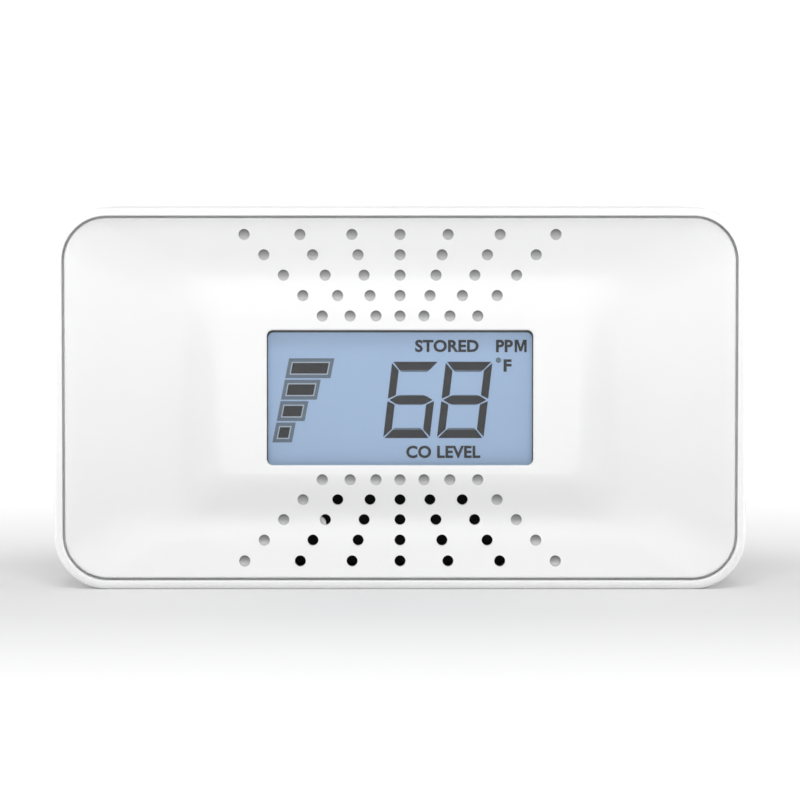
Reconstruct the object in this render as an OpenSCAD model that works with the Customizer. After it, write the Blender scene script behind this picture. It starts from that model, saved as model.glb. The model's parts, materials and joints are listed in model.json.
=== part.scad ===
// Carbon monoxide detector for a shelf or a wall.
// X runs to the right seen from the front, Y runs from the front to the back and Z runs up.
// The origin is on the surface that the detector stands on, under the middle of its body.

/* [Body] */
// Width of the whole body
body_w = 155; // [154:0.5:158]
// Height of the whole body
body_h = 85.5; // [85:0.5:88]
// Depth from the rim to the flat back
body_d = 38; // [38:0.5:40]
// Radius of the four corners seen from the front
corner_r = 12; // [11.5:0.5:13]
// Thickness of the housing's and the rear cover's walls
wall = 2.2; // [2:0.1:2.4]
// Rounding of the rim's outer edge
rim_round = 1.2; // [0.8:0.1:1.4]
// Rounding of the rear cover's outer edge
back_round = 5; // [4:0.5:5]

/* [Front panel] */
// Width of the rim that frames the panel
rim_w = 1.9; // [1.7:0.1:2]
// Groove between the rim and the panel
panel_gap = 0.5; // [0.3:0.05:0.6]
// How far the panel's edge lies behind the rim
panel_recess = 1.6; // [1.2:0.1:2]
// Thickness of the moulded panel
panel_t = 2; // [1.8:0.1:2.2]
// Depth of the valley that runs round the display, behind the panel's edge
valley_drop = 3.2; // [3:0.1:3.4]
// Depth of the ground round the display, behind the panel's edge, at its top
plateau_drop = 2.4; // [2.2:0.1:2.6]
// How much further forward the ground round the display stands at its bottom than at its top
plateau_lean = 1.4; // [1:0.1:1.6]

/* [Perforations] */
// Diameter of a sound hole or dimple
hole_d = 2.5; // [2:0.1:2.8]
// Rows of holes above the display, and again below it
hole_rows = 5; // [5]
// Distance from the middle of the display to the first row
first_row = 18.5; // [18.2:0.1:19]
// Distance between rows
row_pitch = 4.53; // [4.3:0.01:4.6]
// Distance between the middle columns in the first row
column_pitch = 5.38; // [5.2:0.01:5.5]
// Depth of a dimple that doesn't go through
dimple_depth = 1.2; // [0.8:0.1:1.3]

/* [Display] */
// Width of the display opening
display_w = 59.8; // [58:0.1:60]
// Height of the display opening
display_h = 30.3; // [29:0.1:30.5]
// Corner radius of the display opening
display_r = 1.4; // [1:0.1:2]

/* [Moving parts] */
// Travel of the test button
button_travel = 0.7; // [0.4:0.1:0.8]
// Travel of the activation slider
slider_travel = 4; // [3:0.5:4]

/* [Wall fixing] */
// Distance between the two keyholes
keyhole_pitch = 100; // [98:1:102]
// Diameter of a keyhole's round entry
keyhole_d = 9; // [8:0.5:9]
// Width of a keyhole's slot
keyhole_slot = 4.4; // [4:0.1:4.6]

/* [Hidden] */
$fn = 64;

// Main planes across the depth
y_front = -body_d / 2;
y_back = body_d / 2;
y_split = 6;
y_panel = y_front + panel_recess;
panel_edge_t = 2.2;
y_seat = y_panel + panel_edge_t;
ledge_t = 1.5;
y_ledge = y_seat + ledge_t;
mid_z = body_h / 2;
top_inside = body_h - wall;
y_cover_inside = y_back - wall;

// Front panel
open_w = body_w - 2 * rim_w;
open_h = body_h - 2 * rim_w;
open_r = corner_r - rim_w;
panel_w = open_w - 2 * panel_gap;
panel_h = open_h - 2 * panel_gap;
panel_r = open_r - panel_gap;
ledge_w = 1.5;
hook_t = 1.3;
hook_w = 7;
hook_play = 0.25;
hook_barb = 0.75;
hook_xs = [-55, -33, 33, 55];

// The face's contour lines: half width, half height, corner radius, depth behind the panel's edge and
// share of the lean
opening_line = [display_w / 2, display_h / 2, display_r, plateau_drop, 1];
plateau_line = [39.4, 17, 3, plateau_drop, 1];
valley_line = [50.2, 27, 7, valley_drop, 0];
edge_line = [panel_w / 2, panel_h / 2, panel_r, 0, 0];
arc_steps = 8;
slope_steps = 6;
rise_steps = 8;
// Share of the rise from the valley to the edge over which it bends, before it runs straight
bend_share = 0.45;

// Perforations: columns crowd a little less outwards, and the last row is fan times as wide as the first
crowding = 0.048;
fan = 2;
pin_d = 3;
pin_x = -18.15;
pin_z = 14.35;

// Display stack, from the front to the back
y_plateau_inside = y_panel + plateau_drop + panel_t;
window_recess = 0.4;
window_t = 1;
window_w = 64;
window_h = 33.6;
glass_w = 65;
glass_h = 33.5;
glass_t = 0.7;
film_t = 0.2;
guide_t = 2.8;
y_film = y_plateau_inside + window_t + 0.1;
y_glass = y_film + film_t;
y_glass_2 = y_glass + glass_t;
y_film_2 = y_glass_2 + glass_t;
y_guide = y_film_2 + film_t;
y_reflector = y_guide + guide_t;
glass_top = mid_z + glass_h / 2;
glass_bottom = mid_z - glass_h / 2;
glass_ledge = 2;
frame_wall = 1.1;
frame_back_t = 1;

// Board
board_w = 132;
board_h = 66;
board_t = 1.6;
y_board = -3;
y_board_back = y_board + board_t;
board_screw_x = 61;
board_screw_dz = 24;
shelf_depth = 6;

// Screws
boss_r = 3.5;
y_boss = -13;
boss_x = body_w / 2 - corner_r + 4.6;
boss_dz = body_h / 2 - corner_r + 4.6;
screw_r = 1.2;
pilot_r = 1.25;
screw_clear_r = 1.6;
screw_head_r = 2.6;
screw_head_t = 2;
counterbore_r = 2.9;
y_counterbore = 11;
column_r = 3.9;

// Sounder
horn_w = 52.6;
horn_bottom = 3;
horn_top = 22.8;
horn_wall = 1.3;
y_horn = -11.6;
cup_z = 24.7;
cup_r = 20.5;
throat_r = 1.8;
throat_x = 3.5;
throat_z = 17.5;
y_cup = -1;
y_cup_back = 7;
disc_r = 17.5;
ceramic_r = 12;
y_disc = 2.6;
ear_x = 25.5;

// Gas sensor
sensor_x = -45;
sensor_z = 30;
sensor_r = 9.8;
y_sensor = -0.4;
sensor_len = 14.6;
sensor_pin_r = 0.5;

// Battery cells
cell_r = 8.5;
cell_len = 34.5;
cell_y = 7.6;
cell_z = 66;
tab_t = 0.3;
tab_w = 5;

// Test button
button_w = 30;
button_d = 10;
button_y = -4;
button_play = 0.3;
button_sink = 0.2;
button_top = body_h - button_sink;
flange_t = 1.2;
flange_lip = 2;
flange_top = top_inside - 0.15;
test_switch_y = -4.8;
test_switch_top = 76.4;
plunger_top = test_switch_top + 2.1 + button_travel;

// Activation slider
slider_x = 43;
slider_z = 24;
slider_pocket_depth = 1.4;
y_pocket = y_back - slider_pocket_depth;
slider_wall = 2.2;
y_slider_wall = y_pocket - slider_wall;
slot_h = 3.4;
stem_w = 3;
lever_w = 2;
switch_h = 5.5;

// Keyholes
keyhole_z = 56;
keyhole_rise = 8;
pocket_depth = 3.6;
pocket_wall = 1.2;

// Data label
label_w = 56;
label_h = 30;
label_r = 2;
label_z = 30;
label_recess = 0.25;
label_t = 0.2;

// ---------- shared shapes ----------

// Rounded rectangle with true arcs, centred
module rounded_rect(w, h, r) {
    square([w - 2 * r, h], center = true);
    square([w, h - 2 * r], center = true);
    for (sx = [-1, 1], sz = [-1, 1])
        translate([sx * (w / 2 - r), sz * (h / 2 - r)]) circle(r);
}

// Stadium outline, centred
module stadium(w, d) {
    square([w - d, d], center = true);
    for (sx = [-1, 1]) translate([sx * (w - d) / 2, 0]) circle(d / 2);
}

// Rounded plate that fills y0 to y1, centred on x and at height z
module slab(w, h, r, y0, y1, x = 0, z = mid_z) {
    translate([x, y1, z]) rotate([90, 0, 0]) linear_extrude(y1 - y0) rounded_rect(w, h, r);
}

// Plain block between two corners
module block(x0, x1, y0, y1, z0, z1) {
    translate([x0, y0, z0]) cube([x1 - x0, y1 - y0, z1 - z0]);
}

// Round bar along Y
module bar_y(r, y0, y1, x, z) {
    translate([x, y1, z]) rotate([90, 0, 0]) cylinder(r = r, h = y1 - y0);
}

// Round bar along X
module bar_x(r, x0, x1, y, z) {
    translate([x0, y, z]) rotate([0, 90, 0]) cylinder(r = r, h = x1 - x0);
}

// Outline w wide and d high with the two upper corners rounded by e
module soft_outline(w, d, e) {
    translate([-w / 2, 0]) square([w, d - e]);
    translate([-w / 2 + e, 0]) square([w - 2 * e, d]);
    for (sx = [-1, 1]) translate([sx * (w / 2 - e), d - e]) circle(e);
}

// Slab with its edge rounded by e at one end: at y0 when side is 1, at y1 when side is -1
module soft_slab(w, h, r, y0, y1, e, side) {
    d = y1 - y0;
    translate([0, side > 0 ? y1 : y0, mid_z]) rotate([side * 90, 0, 0]) {
        rotate([90, 0, 0]) linear_extrude(h - 2 * r, center = true) soft_outline(w, d, e);
        rotate([90, 0, 90]) linear_extrude(w - 2 * r, center = true) soft_outline(h, d, e);
        for (sx = [-1, 1], sz = [-1, 1])
            translate([sx * (w / 2 - r), sz * (h / 2 - r), 0]) rotate_extrude() intersection() {
                soft_outline(2 * r, d, e);
                square([r, d]);
            }
    }
}

// Places children at the four housing screws
module at_corners() {
    for (sx = [-1, 1], sz = [-1, 1]) translate([sx * boss_x, 0, mid_z + sz * boss_dz]) children();
}

// Places children at the four board screws
module at_board_screws() {
    for (sx = [-1, 1], sz = [-1, 1])
        translate([sx * board_screw_x, 0, mid_z + sz * board_screw_dz]) children();
}

// ---------- enclosure ----------

module housing() {
    shelf_in = board_screw_x - 3.5;
    shelf_half = 4;
    color("white") difference() {
        union() {
            difference() {
                soft_slab(body_w, body_h, corner_r, y_front, y_split, rim_round, 1);
                slab(open_w, open_h, open_r, y_front - 1, y_seat);
                slab(open_w - 2 * ledge_w, open_h - 2 * ledge_w, open_r - ledge_w, y_front, y_ledge + 0.1);
                slab(body_w - 2 * wall, body_h - 2 * wall, corner_r - wall, y_ledge, y_split + 1);
            }
            at_corners() bar_y(boss_r, y_boss, y_split - 0.1, 0, 0);
            for (sx = [-1, 1], sz = [-1, 1])
                block(sx > 0 ? shelf_in : -body_w / 2 + 1, sx > 0 ? body_w / 2 - 1 : -shelf_in,
                      y_board - shelf_depth, y_board,
                      mid_z + sz * board_screw_dz - shelf_half, mid_z + sz * board_screw_dz + shelf_half);
        }
        at_corners() bar_y(pilot_r, y_boss + 1, y_split + 1, 0, 0);
        at_board_screws() bar_y(pilot_r, y_board - shelf_depth + 0.8, y_board + 1, 0, 0);
        button_hole();
    }
}

// Stadium-shaped hole through the top wall
module button_hole() {
    translate([0, button_y, top_inside - 1]) linear_extrude(wall + 2)
        stadium(button_w + 2 * button_play, button_d + 2 * button_play);
}

// Eases a share from 0 to 1, level at both ends
function ease(s) = s * s * (3 - 2 * s);

// Share of the rise reached at share t of the way from the valley to the edge
function risen(t) =
    let (bent = pow(min(t, bend_share), 2), straight = 2 * bend_share * max(t - bend_share, 0))
    (bent + straight) / (2 * bend_share - pow(bend_share, 2));

// How far the ground round the display stands forward at height h above the middle
function lean_at(h) =
    plateau_lean * (1 - max(-1, min(1, h / plateau_line[1]))) / 2;

// Contour line at share s between lines a and b, with its depth and lean at share e
function line_between(a, b, s, e) = [for (i = [0 : 4]) a[i] + (b[i] - a[i]) * (i < 3 ? s : e)];

// The face's contour lines from the display opening out to the panel's edge
face_lines = [
    opening_line,
    for (i = [0 : slope_steps - 1])
        line_between(plateau_line, valley_line, i / slope_steps, ease(i / slope_steps)),
    for (i = [0 : rise_steps]) line_between(valley_line, edge_line, i / rise_steps, risen(i / rise_steps)),
];

// Depth of the face behind the panel's edge at height h above the middle, over and under the display
function face_depth(h) =
    let (
        s = (abs(h) - plateau_line[1]) / (valley_line[1] - plateau_line[1]),
        t = (abs(h) - valley_line[1]) / (edge_line[1] - valley_line[1]),
        e = ease(max(0, min(1, s)))
    )
    plateau_drop + (valley_drop - plateau_drop) * e - (1 - e) * lean_at(h) - valley_drop * risen(max(0, t));

// Points of one contour line, at its depth and lean behind the plane y
function contour(l, y) = [
    for (q = [0 : 3], i = [0 : arc_steps])
        let (a = 90 * (q + i / arc_steps), sx = (q == 0 || q == 3) ? 1 : -1, sz = q < 2 ? 1 : -1)
        let (x = sx * (l[0] - l[2]) + l[2] * cos(a), h = sz * (l[1] - l[2]) + l[2] * sin(a))
            [x, y + l[3] - l[4] * lean_at(h), mid_z + h]
];

// The same line without its lean, for the back of the moulding
function level(l) = [l[0], l[1], l[2], l[3], 0];

// The moulded face: contour lines at the front, the same lines at the back, and walls between them
module panel_shell() {
    n = 4 * (arc_steps + 1);
    m = len(face_lines);
    front = [for (l = face_lines) each contour(l, y_panel)];
    back = [
        for (i = [0 : m - 1]) let (l = face_lines[i])
            each contour(level(l), i >= m - 2 ? y_seat - l[3] : y_panel + panel_t)
    ];
    points = concat(front, back);
    f = m * n;
    faces = [
        for (k = [0 : m - 2], i = [0 : n - 1]) let (j = (i + 1) % n)
            each [
                [k * n + i, (k + 1) * n + i, (k + 1) * n + j],
                [k * n + i, (k + 1) * n + j, k * n + j],
                [f + k * n + i, f + (k + 1) * n + j, f + (k + 1) * n + i],
                [f + k * n + i, f + k * n + j, f + (k + 1) * n + j],
            ],
        for (i = [0 : n - 1]) let (j = (i + 1) % n, o = (m - 1) * n)
            each [
                [o + i, f + o + i, f + o + j],
                [o + i, f + o + j, o + j],
                [i, f + j, f + i],
                [i, j, f + j],
            ],
    ];
    polyhedron(points = points, faces = [for (t = faces) [t[0], t[2], t[1]]]);
}

// Place across of the hole in row r, counted outwards from the display, and column c, counted from the middle
function hole_x(r, c) =
    column_pitch * c * (1 + crowding * (abs(c) - 1)) * (1 + (fan - 1) * r / (hole_rows - 1));

// Height of row r above or below the middle
function hole_h(r) = first_row + row_pitch * r;

// The sounder is behind the lower half (side -1), where all but the outermost holes go through
function goes_through(side, r, c) = side < 0 && r > 0 && abs(c) < 3;

module perforations() {
    for (side = [-1, 1], r = [0 : hole_rows - 1], c = [-3 : 3]) {
        y = y_panel + face_depth(side * hole_h(r));
        bar_y(hole_d / 2, y - 3, goes_through(side, r, c) ? y + 4 : y + dimple_depth,
              hole_x(r, c), mid_z + side * hole_h(r));
    }
}

// Snap hook at x on the upper (1) or lower (-1) edge, its barb behind the housing's ledge
module hook(x, side) {
    z_out = open_h / 2 - ledge_w - hook_play;
    y_tip = y_ledge + 1.3;
    translate([x - hook_w / 2, 0, mid_z]) {
        z0 = side > 0 ? z_out - hook_t : -z_out;
        translate([0, y_seat - 0.6, z0]) cube([hook_w, y_tip - y_seat + 0.6, hook_t]);
        zb = side > 0 ? z_out - 0.1 : -z_out - hook_barb;
        translate([0, y_ledge + 0.1, zb]) cube([hook_w, y_tip - y_ledge - 0.1, hook_barb + 0.1]);
    }
}

module front_panel() {
    y_pin = y_panel + valley_drop + panel_t;
    color("white") {
        difference() {
            panel_shell();
            perforations();
        }
        for (x = hook_xs, side = [-1, 1]) hook(x, side);
        bar_y(pin_d / 2, y_pin - 0.6, y_pin + 2.6, pin_x, pin_z);
    }
}

// Keyhole through the back wall: a round entry with a slot above it for the screw's shank
module keyhole(x) {
    bar_y(keyhole_d / 2, y_cover_inside - 1, y_back + 1, x, keyhole_z);
    bar_y(keyhole_slot / 2, y_cover_inside - 1, y_back + 1, x, keyhole_z + keyhole_rise);
    block(x - keyhole_slot / 2, x + keyhole_slot / 2, y_cover_inside - 1, y_back + 1,
          keyhole_z, keyhole_z + keyhole_rise);
}

// Room behind a keyhole for the screw's head, grown by g
module keyhole_pocket(x, g) {
    side = keyhole_d / 2 + 0.9 + g;
    block(x - side, x + side, y_cover_inside - pocket_depth - g, y_cover_inside + 0.5,
          keyhole_z - side, keyhole_z + keyhole_rise + side);
}

// Saddle rib that carries the battery cells
module saddle(x) {
    difference() {
        block(x - 0.8, x + 0.8, 9.5, y_cover_inside + 0.5, cell_z - 10.2, cell_z + 10.2);
        bar_x(cell_r + 0.2, x - 1, x + 1, cell_y, cell_z);
    }
}

module sensor_vents() {
    for (i = [-3 : 3])
        slab(12, 1.6, 0.79, y_cover_inside - 1, y_back + 1, sensor_x, sensor_z + i * 3.2);
}

module rear_cover() {
    lip_play = 0.2;
    lip_t = 1.2;
    lip_w = body_w - 2 * wall - 2 * lip_play;
    lip_h = body_h - 2 * wall - 2 * lip_play;
    lip_r = corner_r - wall - lip_play;
    color("white") difference() {
        union() {
            difference() {
                soft_slab(body_w, body_h, corner_r, y_split, y_back, back_round, -1);
                soft_slab(body_w - 2 * wall, body_h - 2 * wall, corner_r - wall, y_split - 1,
                          y_cover_inside, back_round - wall, -1);
            }
            difference() {
                slab(lip_w, lip_h, lip_r, y_split - 3, y_split + 3);
                slab(lip_w - 2 * lip_t, lip_h - 2 * lip_t, lip_r - lip_t, y_split - 4, y_split + 4);
                at_corners() bar_y(boss_r + 0.4, y_split - 4, y_split, 0, 0);
                block(-body_w / 2, body_w / 2, y_split + 0.01, y_split + 4, body_h / 2 - 3, body_h / 2 + 3);
            }
            intersection() {
                soft_slab(body_w, body_h, corner_r, y_split, y_back, back_round, -1);
                at_corners() bar_y(column_r, y_split, y_back, 0, 0);
            }
            for (sx = [-1, 1]) keyhole_pocket(sx * keyhole_pitch / 2, pocket_wall);
            for (x = [-30, -10, 10, 30]) saddle(x);
            slider_seat();
        }
        at_corners() bar_y(screw_clear_r, y_split - 1, y_back + 1, 0, 0);
        at_corners() bar_y(counterbore_r, y_counterbore, y_back + 1, 0, 0);
        for (sx = [-1, 1]) {
            keyhole_pocket(sx * keyhole_pitch / 2, 0);
            keyhole(sx * keyhole_pitch / 2);
        }
        sensor_vents();
        slider_cutouts();
        slab(label_w, label_h, label_r, y_back - label_recess, y_back + 1, 0, label_z);
    }
}

// Thicker wall behind the activation slider
module slider_seat() {
    block(slider_x - 7, slider_x + slider_travel + 7, y_slider_wall, y_cover_inside + 0.5,
          slider_z - 6, slider_z + 6);
}

// Pocket and slot for the activation slider
module slider_cutouts() {
    slab(slider_travel + 8.4, 7.4, 1.5, y_pocket, y_back + 1, slider_x + slider_travel / 2, slider_z);
    slab(slider_travel + stem_w + 0.8, slot_h, 0.6, y_slider_wall - 1, y_back,
         slider_x + slider_travel / 2, slider_z);
}

// Blank data label in its recess
module rating_label() {
    color("silver") slab(label_w - 1, label_h - 1, label_r, y_back - label_recess,
                         y_back - label_recess + label_t, 0, label_z);
}

// Pan-head screw with a cross recess; its head's underside is at y and its shank runs towards the front
module screw(y, len, head_r = screw_head_r, r = screw_r) {
    difference() {
        union() {
            bar_y(head_r, y, y + screw_head_t, 0, 0);
            bar_y(r, y - len, y + 0.01, 0, 0);
        }
        block(-1.5, 1.5, y + 1, y + 3, -0.3, 0.3);
        block(-0.3, 0.3, y + 1, y + 3, -1.5, 1.5);
    }
}

module housing_screws() {
    color("darkgray") at_corners() screw(y_counterbore, 14);
}

// ---------- display ----------

module display_window() {
    color("lightcyan", 0.4) {
        slab(display_w - 0.4, display_h - 0.4, display_r - 0.2, y_panel + plateau_drop + window_recess,
             y_plateau_inside + 0.01);
        slab(window_w, window_h, 2, y_plateau_inside, y_plateau_inside + window_t);
    }
}

// Open carrier that holds the glass and the light guide, with four legs on the board
module lcd_frame() {
    half_w = glass_w / 2 + 0.3 + frame_wall;
    z0 = glass_bottom - glass_ledge - 0.1 - frame_wall + 0.2;
    z1 = glass_top + 0.3 + frame_wall;
    y0 = y_film;
    y1 = y_reflector + film_t;
    color("whitesmoke") {
        difference() {
            block(-half_w, half_w, y0, y1 + frame_back_t, z0, z1);
            block(-half_w + frame_wall, half_w - frame_wall, y0 - 1, y1,
                  z0 + frame_wall - 0.2, z1 - frame_wall);
            block(-30.5, 30.5, y1 - 1, y1 + 2, z0 + frame_wall - 0.2, z0 + frame_wall + 2.2);
            block(-24, 24, y1 - 1, y1 + 2, mid_z - 10, mid_z + 11);
        }
        for (sx = [-1, 1], z = [z0 + 8, z1 - 3])
            bar_y(1.8, y1 + 0.5, y_board, sx * (half_w - 3), z);
    }
}

module lcd_front_polarizer() {
    color("lightsteelblue") slab(glass_w - 2, glass_h - 1.5, 0.3, y_film, y_film + film_t);
}

module lcd_front_glass() {
    color("lightblue", 0.6)
        block(-glass_w / 2, glass_w / 2, y_glass, y_glass_2, glass_bottom - glass_ledge, glass_top);
}

module lcd_rear_glass() {
    color("lightblue", 0.6) block(-glass_w / 2, glass_w / 2, y_glass_2, y_film_2, glass_bottom, glass_top);
}

module lcd_rear_polarizer() {
    color("lightsteelblue") slab(glass_w - 2, glass_h - 1.5, 0.3, y_film_2, y_guide);
}

module light_guide() {
    color("aliceblue", 0.7) block(-31, 31, y_guide, y_reflector, glass_bottom + 0.5, glass_top - 0.3);
}

module light_reflector() {
    color("white")
        block(-31, 31, y_reflector, y_reflector + film_t - 0.02, glass_bottom + 0.5, glass_top - 0.3);
}

module backlight_leds() {
    color("ivory") for (dz = [-8, 8])
        block(31.05, 32.5, y_guide + 0.4, y_reflector - 0.4, mid_z + dz - 1.6, mid_z + dz + 1.6);
}

module zebra_strip() {
    color("pink") block(-29, 29, y_glass_2, y_board, glass_bottom - glass_ledge + 0.1, glass_bottom - 0.1);
}

// ---------- board ----------

module main_board() {
    notch_w = horn_w + 1.4;
    color("darkgreen") difference() {
        slab(board_w, board_h, 1.5, y_board, y_board_back);
        block(-notch_w / 2, notch_w / 2, y_board - 1, y_board_back + 1, 0, horn_top + 0.5);
        at_board_screws() bar_y(1.6, y_board - 1, y_board_back + 1, 0, 0);
        for (sx = [-1, 1]) bar_y(1.4, y_board - 1, y_board_back + 1, sx * ear_x, cup_z + 9);
        at_sensor_pins() bar_y(sensor_pin_r + 0.1, y_board - 1, y_board_back + 1, 0, 0);
    }
}

// Flat chip with legs on all four sides, on the back of the board
module microcontroller() {
    x0 = 42;
    z0 = 46;
    half = 5;
    color("dimgray") {
        block(x0 - half, x0 + half, y_board_back + 0.1, y_board_back + 1.5, z0 - half, z0 + half);
        for (i = [-5 : 5], q = [0 : 3])
            translate([x0, 0, z0]) rotate([0, 90 * q, 0])
                translate([half - 0.2, y_board_back, i * 0.8 - 0.15]) cube([1.4, 0.3, 0.3]);
    }
}

// Small resistors and capacitors, on the front and the back of the board
module chip_components() {
    color("tan") {
        for (i = [0 : 5], j = [0 : 1])
            block(52 + j * 4, 54 + j * 4, y_board_back, y_board_back + 0.8, 40 + i * 2.6, 41.3 + i * 2.6);
        for (i = [0 : 6], j = [0 : 2])
            block(-56 + i * 3.4, -54 + i * 3.4, y_board - 0.8, y_board, 46 + j * 5, 47.3 + j * 5);
        for (i = [0 : 4]) block(-36 + i * 3.4, -34 + i * 3.4, y_board_back, y_board_back + 0.8, 48, 49.3);
    }
}

module capacitors() {
    color("darkslategray") for (p = [[30, 52, 3.1, 7], [59, 34, 4, 9], [59, 25.5, 3.1, 7]])
        bar_y(p[2], y_board_back, y_board_back + p[3], p[0], p[1]);
}

// Step-up coil that drives the sounder: a bobbin with a wound middle
module booster_coil() {
    color("saddlebrown") translate([31, y_board_back, 10.5 + 5]) rotate([-90, 0, 0]) {
        cylinder(r = 4.2, h = 1);
        translate([0, 0, 1]) cylinder(r = 3.4, h = 6);
        translate([0, 0, 7]) cylinder(r = 4.2, h = 1);
    }
}

module crystal() {
    color("silver") slab(8, 3.4, 1.69, y_board_back, y_board_back + 2.4, 30, 42);
}

module thermistor() {
    color("black") {
        translate([-61, y_board_back + 3, 30]) sphere(1.4);
        bar_y(0.3, y_board_back, y_board_back + 2.5, -61.5, 30);
        bar_y(0.3, y_board_back, y_board_back + 2.5, -60.5, 30);
    }
}

// Four screws hold the board to the housing and two hold the horn to the board
module board_screws() {
    color("darkgray") {
        at_board_screws() screw(y_board_back, 6);
        for (sx = [-1, 1]) translate([sx * ear_x, y_board, cup_z + 9]) rotate([180, 0, 0]) screw(0, 6);
    }
}

// ---------- sounder ----------

// Black horn: a flat duct behind the sound holes that opens into the round cup of the piezo disc
module sounder_horn() {
    color("black") difference() {
        union() {
            block(-horn_w / 2, horn_w / 2, y_horn, y_cup + 1.5, horn_bottom, horn_top);
            bar_y(cup_r, y_cup, y_cup_back, 0, cup_z);
            for (sx = [-1, 1]) bar_y(3.2, y_board_back, 4.6, sx * ear_x, cup_z + 9);
            for (sx = [-1, 1])
                block(sx > 0 ? cup_r * 0.8 : -ear_x, sx > 0 ? ear_x : -cup_r * 0.8, 0, 4,
                      cup_z + 7.5, cup_z + 10.5);
        }
        block(-horn_w / 2 + horn_wall, horn_w / 2 - horn_wall, y_horn - 1, y_cup, horn_bottom + horn_wall,
              horn_top - 1.1);
        for (sx = [-1, 1]) bar_y(throat_r, y_cup - 1, y_disc, sx * throat_x, throat_z);
        bar_y(disc_r - 1.5, y_cup + 1.5, y_cup_back, 0, cup_z);
        bar_y(disc_r + 0.1, y_disc, y_cup_back + 1, 0, cup_z);
        for (sx = [-1, 1]) bar_y(pilot_r, y_board_back - 1, 3.6, sx * ear_x, cup_z + 9);
    }
}

module horn_gasket() {
    y0 = y_horn - 0.5;
    color("black") difference() {
        block(-horn_w / 2, horn_w / 2, y0, y_horn, horn_bottom, horn_top);
        block(-horn_w / 2 + horn_wall, horn_w / 2 - horn_wall, y0 - 1, y_horn + 1, horn_bottom + horn_wall,
              horn_top - 1.1);
    }
}

module piezo_disc() {
    color("gold") bar_y(disc_r, y_disc, y_disc + 0.3, 0, cup_z);
}

module piezo_ceramic() {
    color("lightgray") bar_y(ceramic_r, y_disc + 0.3, y_disc + 0.55, 0, cup_z);
}

module sounder_cap() {
    color("black") difference() {
        union() {
            bar_y(cup_r, y_cup_back, y_cup_back + 1.4, 0, cup_z);
            difference() {
                bar_y(disc_r, y_disc + 0.3, y_cup_back + 0.5, 0, cup_z);
                bar_y(disc_r - 1.4, y_disc, y_cup_back, 0, cup_z);
            }
        }
        for (p = [[0, 4], [-8, -2], [15, 0]]) bar_y(1.1, y_cup_back - 1, y_cup_back + 2, p[0], cup_z + p[1]);
    }
}

// Three contact pins that press on the disc and the ceramic
module sounder_contacts() {
    color("goldenrod") {
        for (p = [[0, 4], [-8, -2]]) bar_y(0.8, y_disc + 0.55, y_cup_back + 2.4, p[0], cup_z + p[1]);
        bar_y(0.8, y_disc + 0.3, y_cup_back + 2.4, 15, cup_z);
    }
}

// ---------- gas sensor ----------

module sensor_can() {
    color("silver") bar_y(sensor_r, y_sensor, y_sensor + sensor_len, sensor_x, sensor_z);
}

module sensor_filter_cap() {
    y0 = y_sensor + sensor_len;
    color("black") difference() {
        bar_y(sensor_r + 0.2, y0, y0 + 1.6, sensor_x, sensor_z);
        for (a = [0 : 60 : 300])
            bar_y(1, y0 + 0.8, y0 + 2, sensor_x + 4 * cos(a), sensor_z + 4 * sin(a));
        bar_y(1, y0 + 0.8, y0 + 2, sensor_x, sensor_z);
    }
}

// Places children at the sensor's three pins
module at_sensor_pins() {
    for (a = [90, 210, 330]) translate([sensor_x + 6 * cos(a), 0, sensor_z + 6 * sin(a)]) children();
}

module sensor_pins() {
    color("gold") at_sensor_pins() bar_y(sensor_pin_r, y_board - 1.2, y_sensor, 0, 0);
}

// Foam ring between the sensor and the rear cover's vents
module sensor_gasket() {
    y0 = y_sensor + sensor_len + 1.6;
    color("dimgray") difference() {
        bar_y(sensor_r - 0.2, y0, y_cover_inside, sensor_x, sensor_z);
        bar_y(sensor_r - 2.2, y0 - 1, y_cover_inside + 1, sensor_x, sensor_z);
    }
}

// ---------- battery ----------

// Lithium cell from x0, with its raised cap at the end
module cell(x0) {
    cap = 1.2;
    bar_x(cell_r, x0, x0 + cell_len - cap, cell_y, cell_z);
    bar_x(3.2, x0 + cell_len - cap - 0.01, x0 + cell_len, cell_y, cell_z);
}

module battery_cell_left() {
    color("royalblue") cell(-cell_len - tab_t / 2);
}

module battery_cell_right() {
    color("royalblue") cell(tab_t / 2);
}

// Welded strips: one at each end down to the board and one link between the cells
module battery_tabs() {
    end = cell_len + tab_t / 2;
    color("silver") {
        for (s = [-1, 1]) {
            block(s > 0 ? end : -end - tab_t, s > 0 ? end + tab_t : -end, y_board_back, cell_y + 3,
                  cell_z - tab_w / 2, cell_z + tab_w / 2);
            block(s > 0 ? end : -end - 4, s > 0 ? end + 4 : -end, y_board_back, y_board_back + tab_t,
                  cell_z - tab_w / 2, cell_z + tab_w / 2);
        }
        block(-tab_t / 2, tab_t / 2, cell_y - 5, cell_y + 5, cell_z - tab_w / 2, cell_z + tab_w / 2);
    }
}

// Foam strips that keep the cells from rattling against the board
module battery_pads() {
    color("dimgray") for (x = [-20, 20])
        block(x - 6, x + 6, y_board_back, cell_y - cell_r, cell_z - 2.5, cell_z + 2.5);
}

// ---------- test button ----------

module test_button() {
    stem_half = 2;
    color("white") {
        translate([0, button_y, flange_top - 0.1]) linear_extrude(button_top - flange_top + 0.1)
            stadium(button_w, button_d);
        translate([0, button_y, flange_top - flange_t]) linear_extrude(flange_t)
            stadium(button_w + 2 * flange_lip, button_d + 2 * flange_lip);
        block(-stem_half, stem_half, test_switch_y - 1.6, test_switch_y + 1.6,
              plunger_top + 0.03, flange_top - flange_t + 0.1);
    }
}

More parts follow.
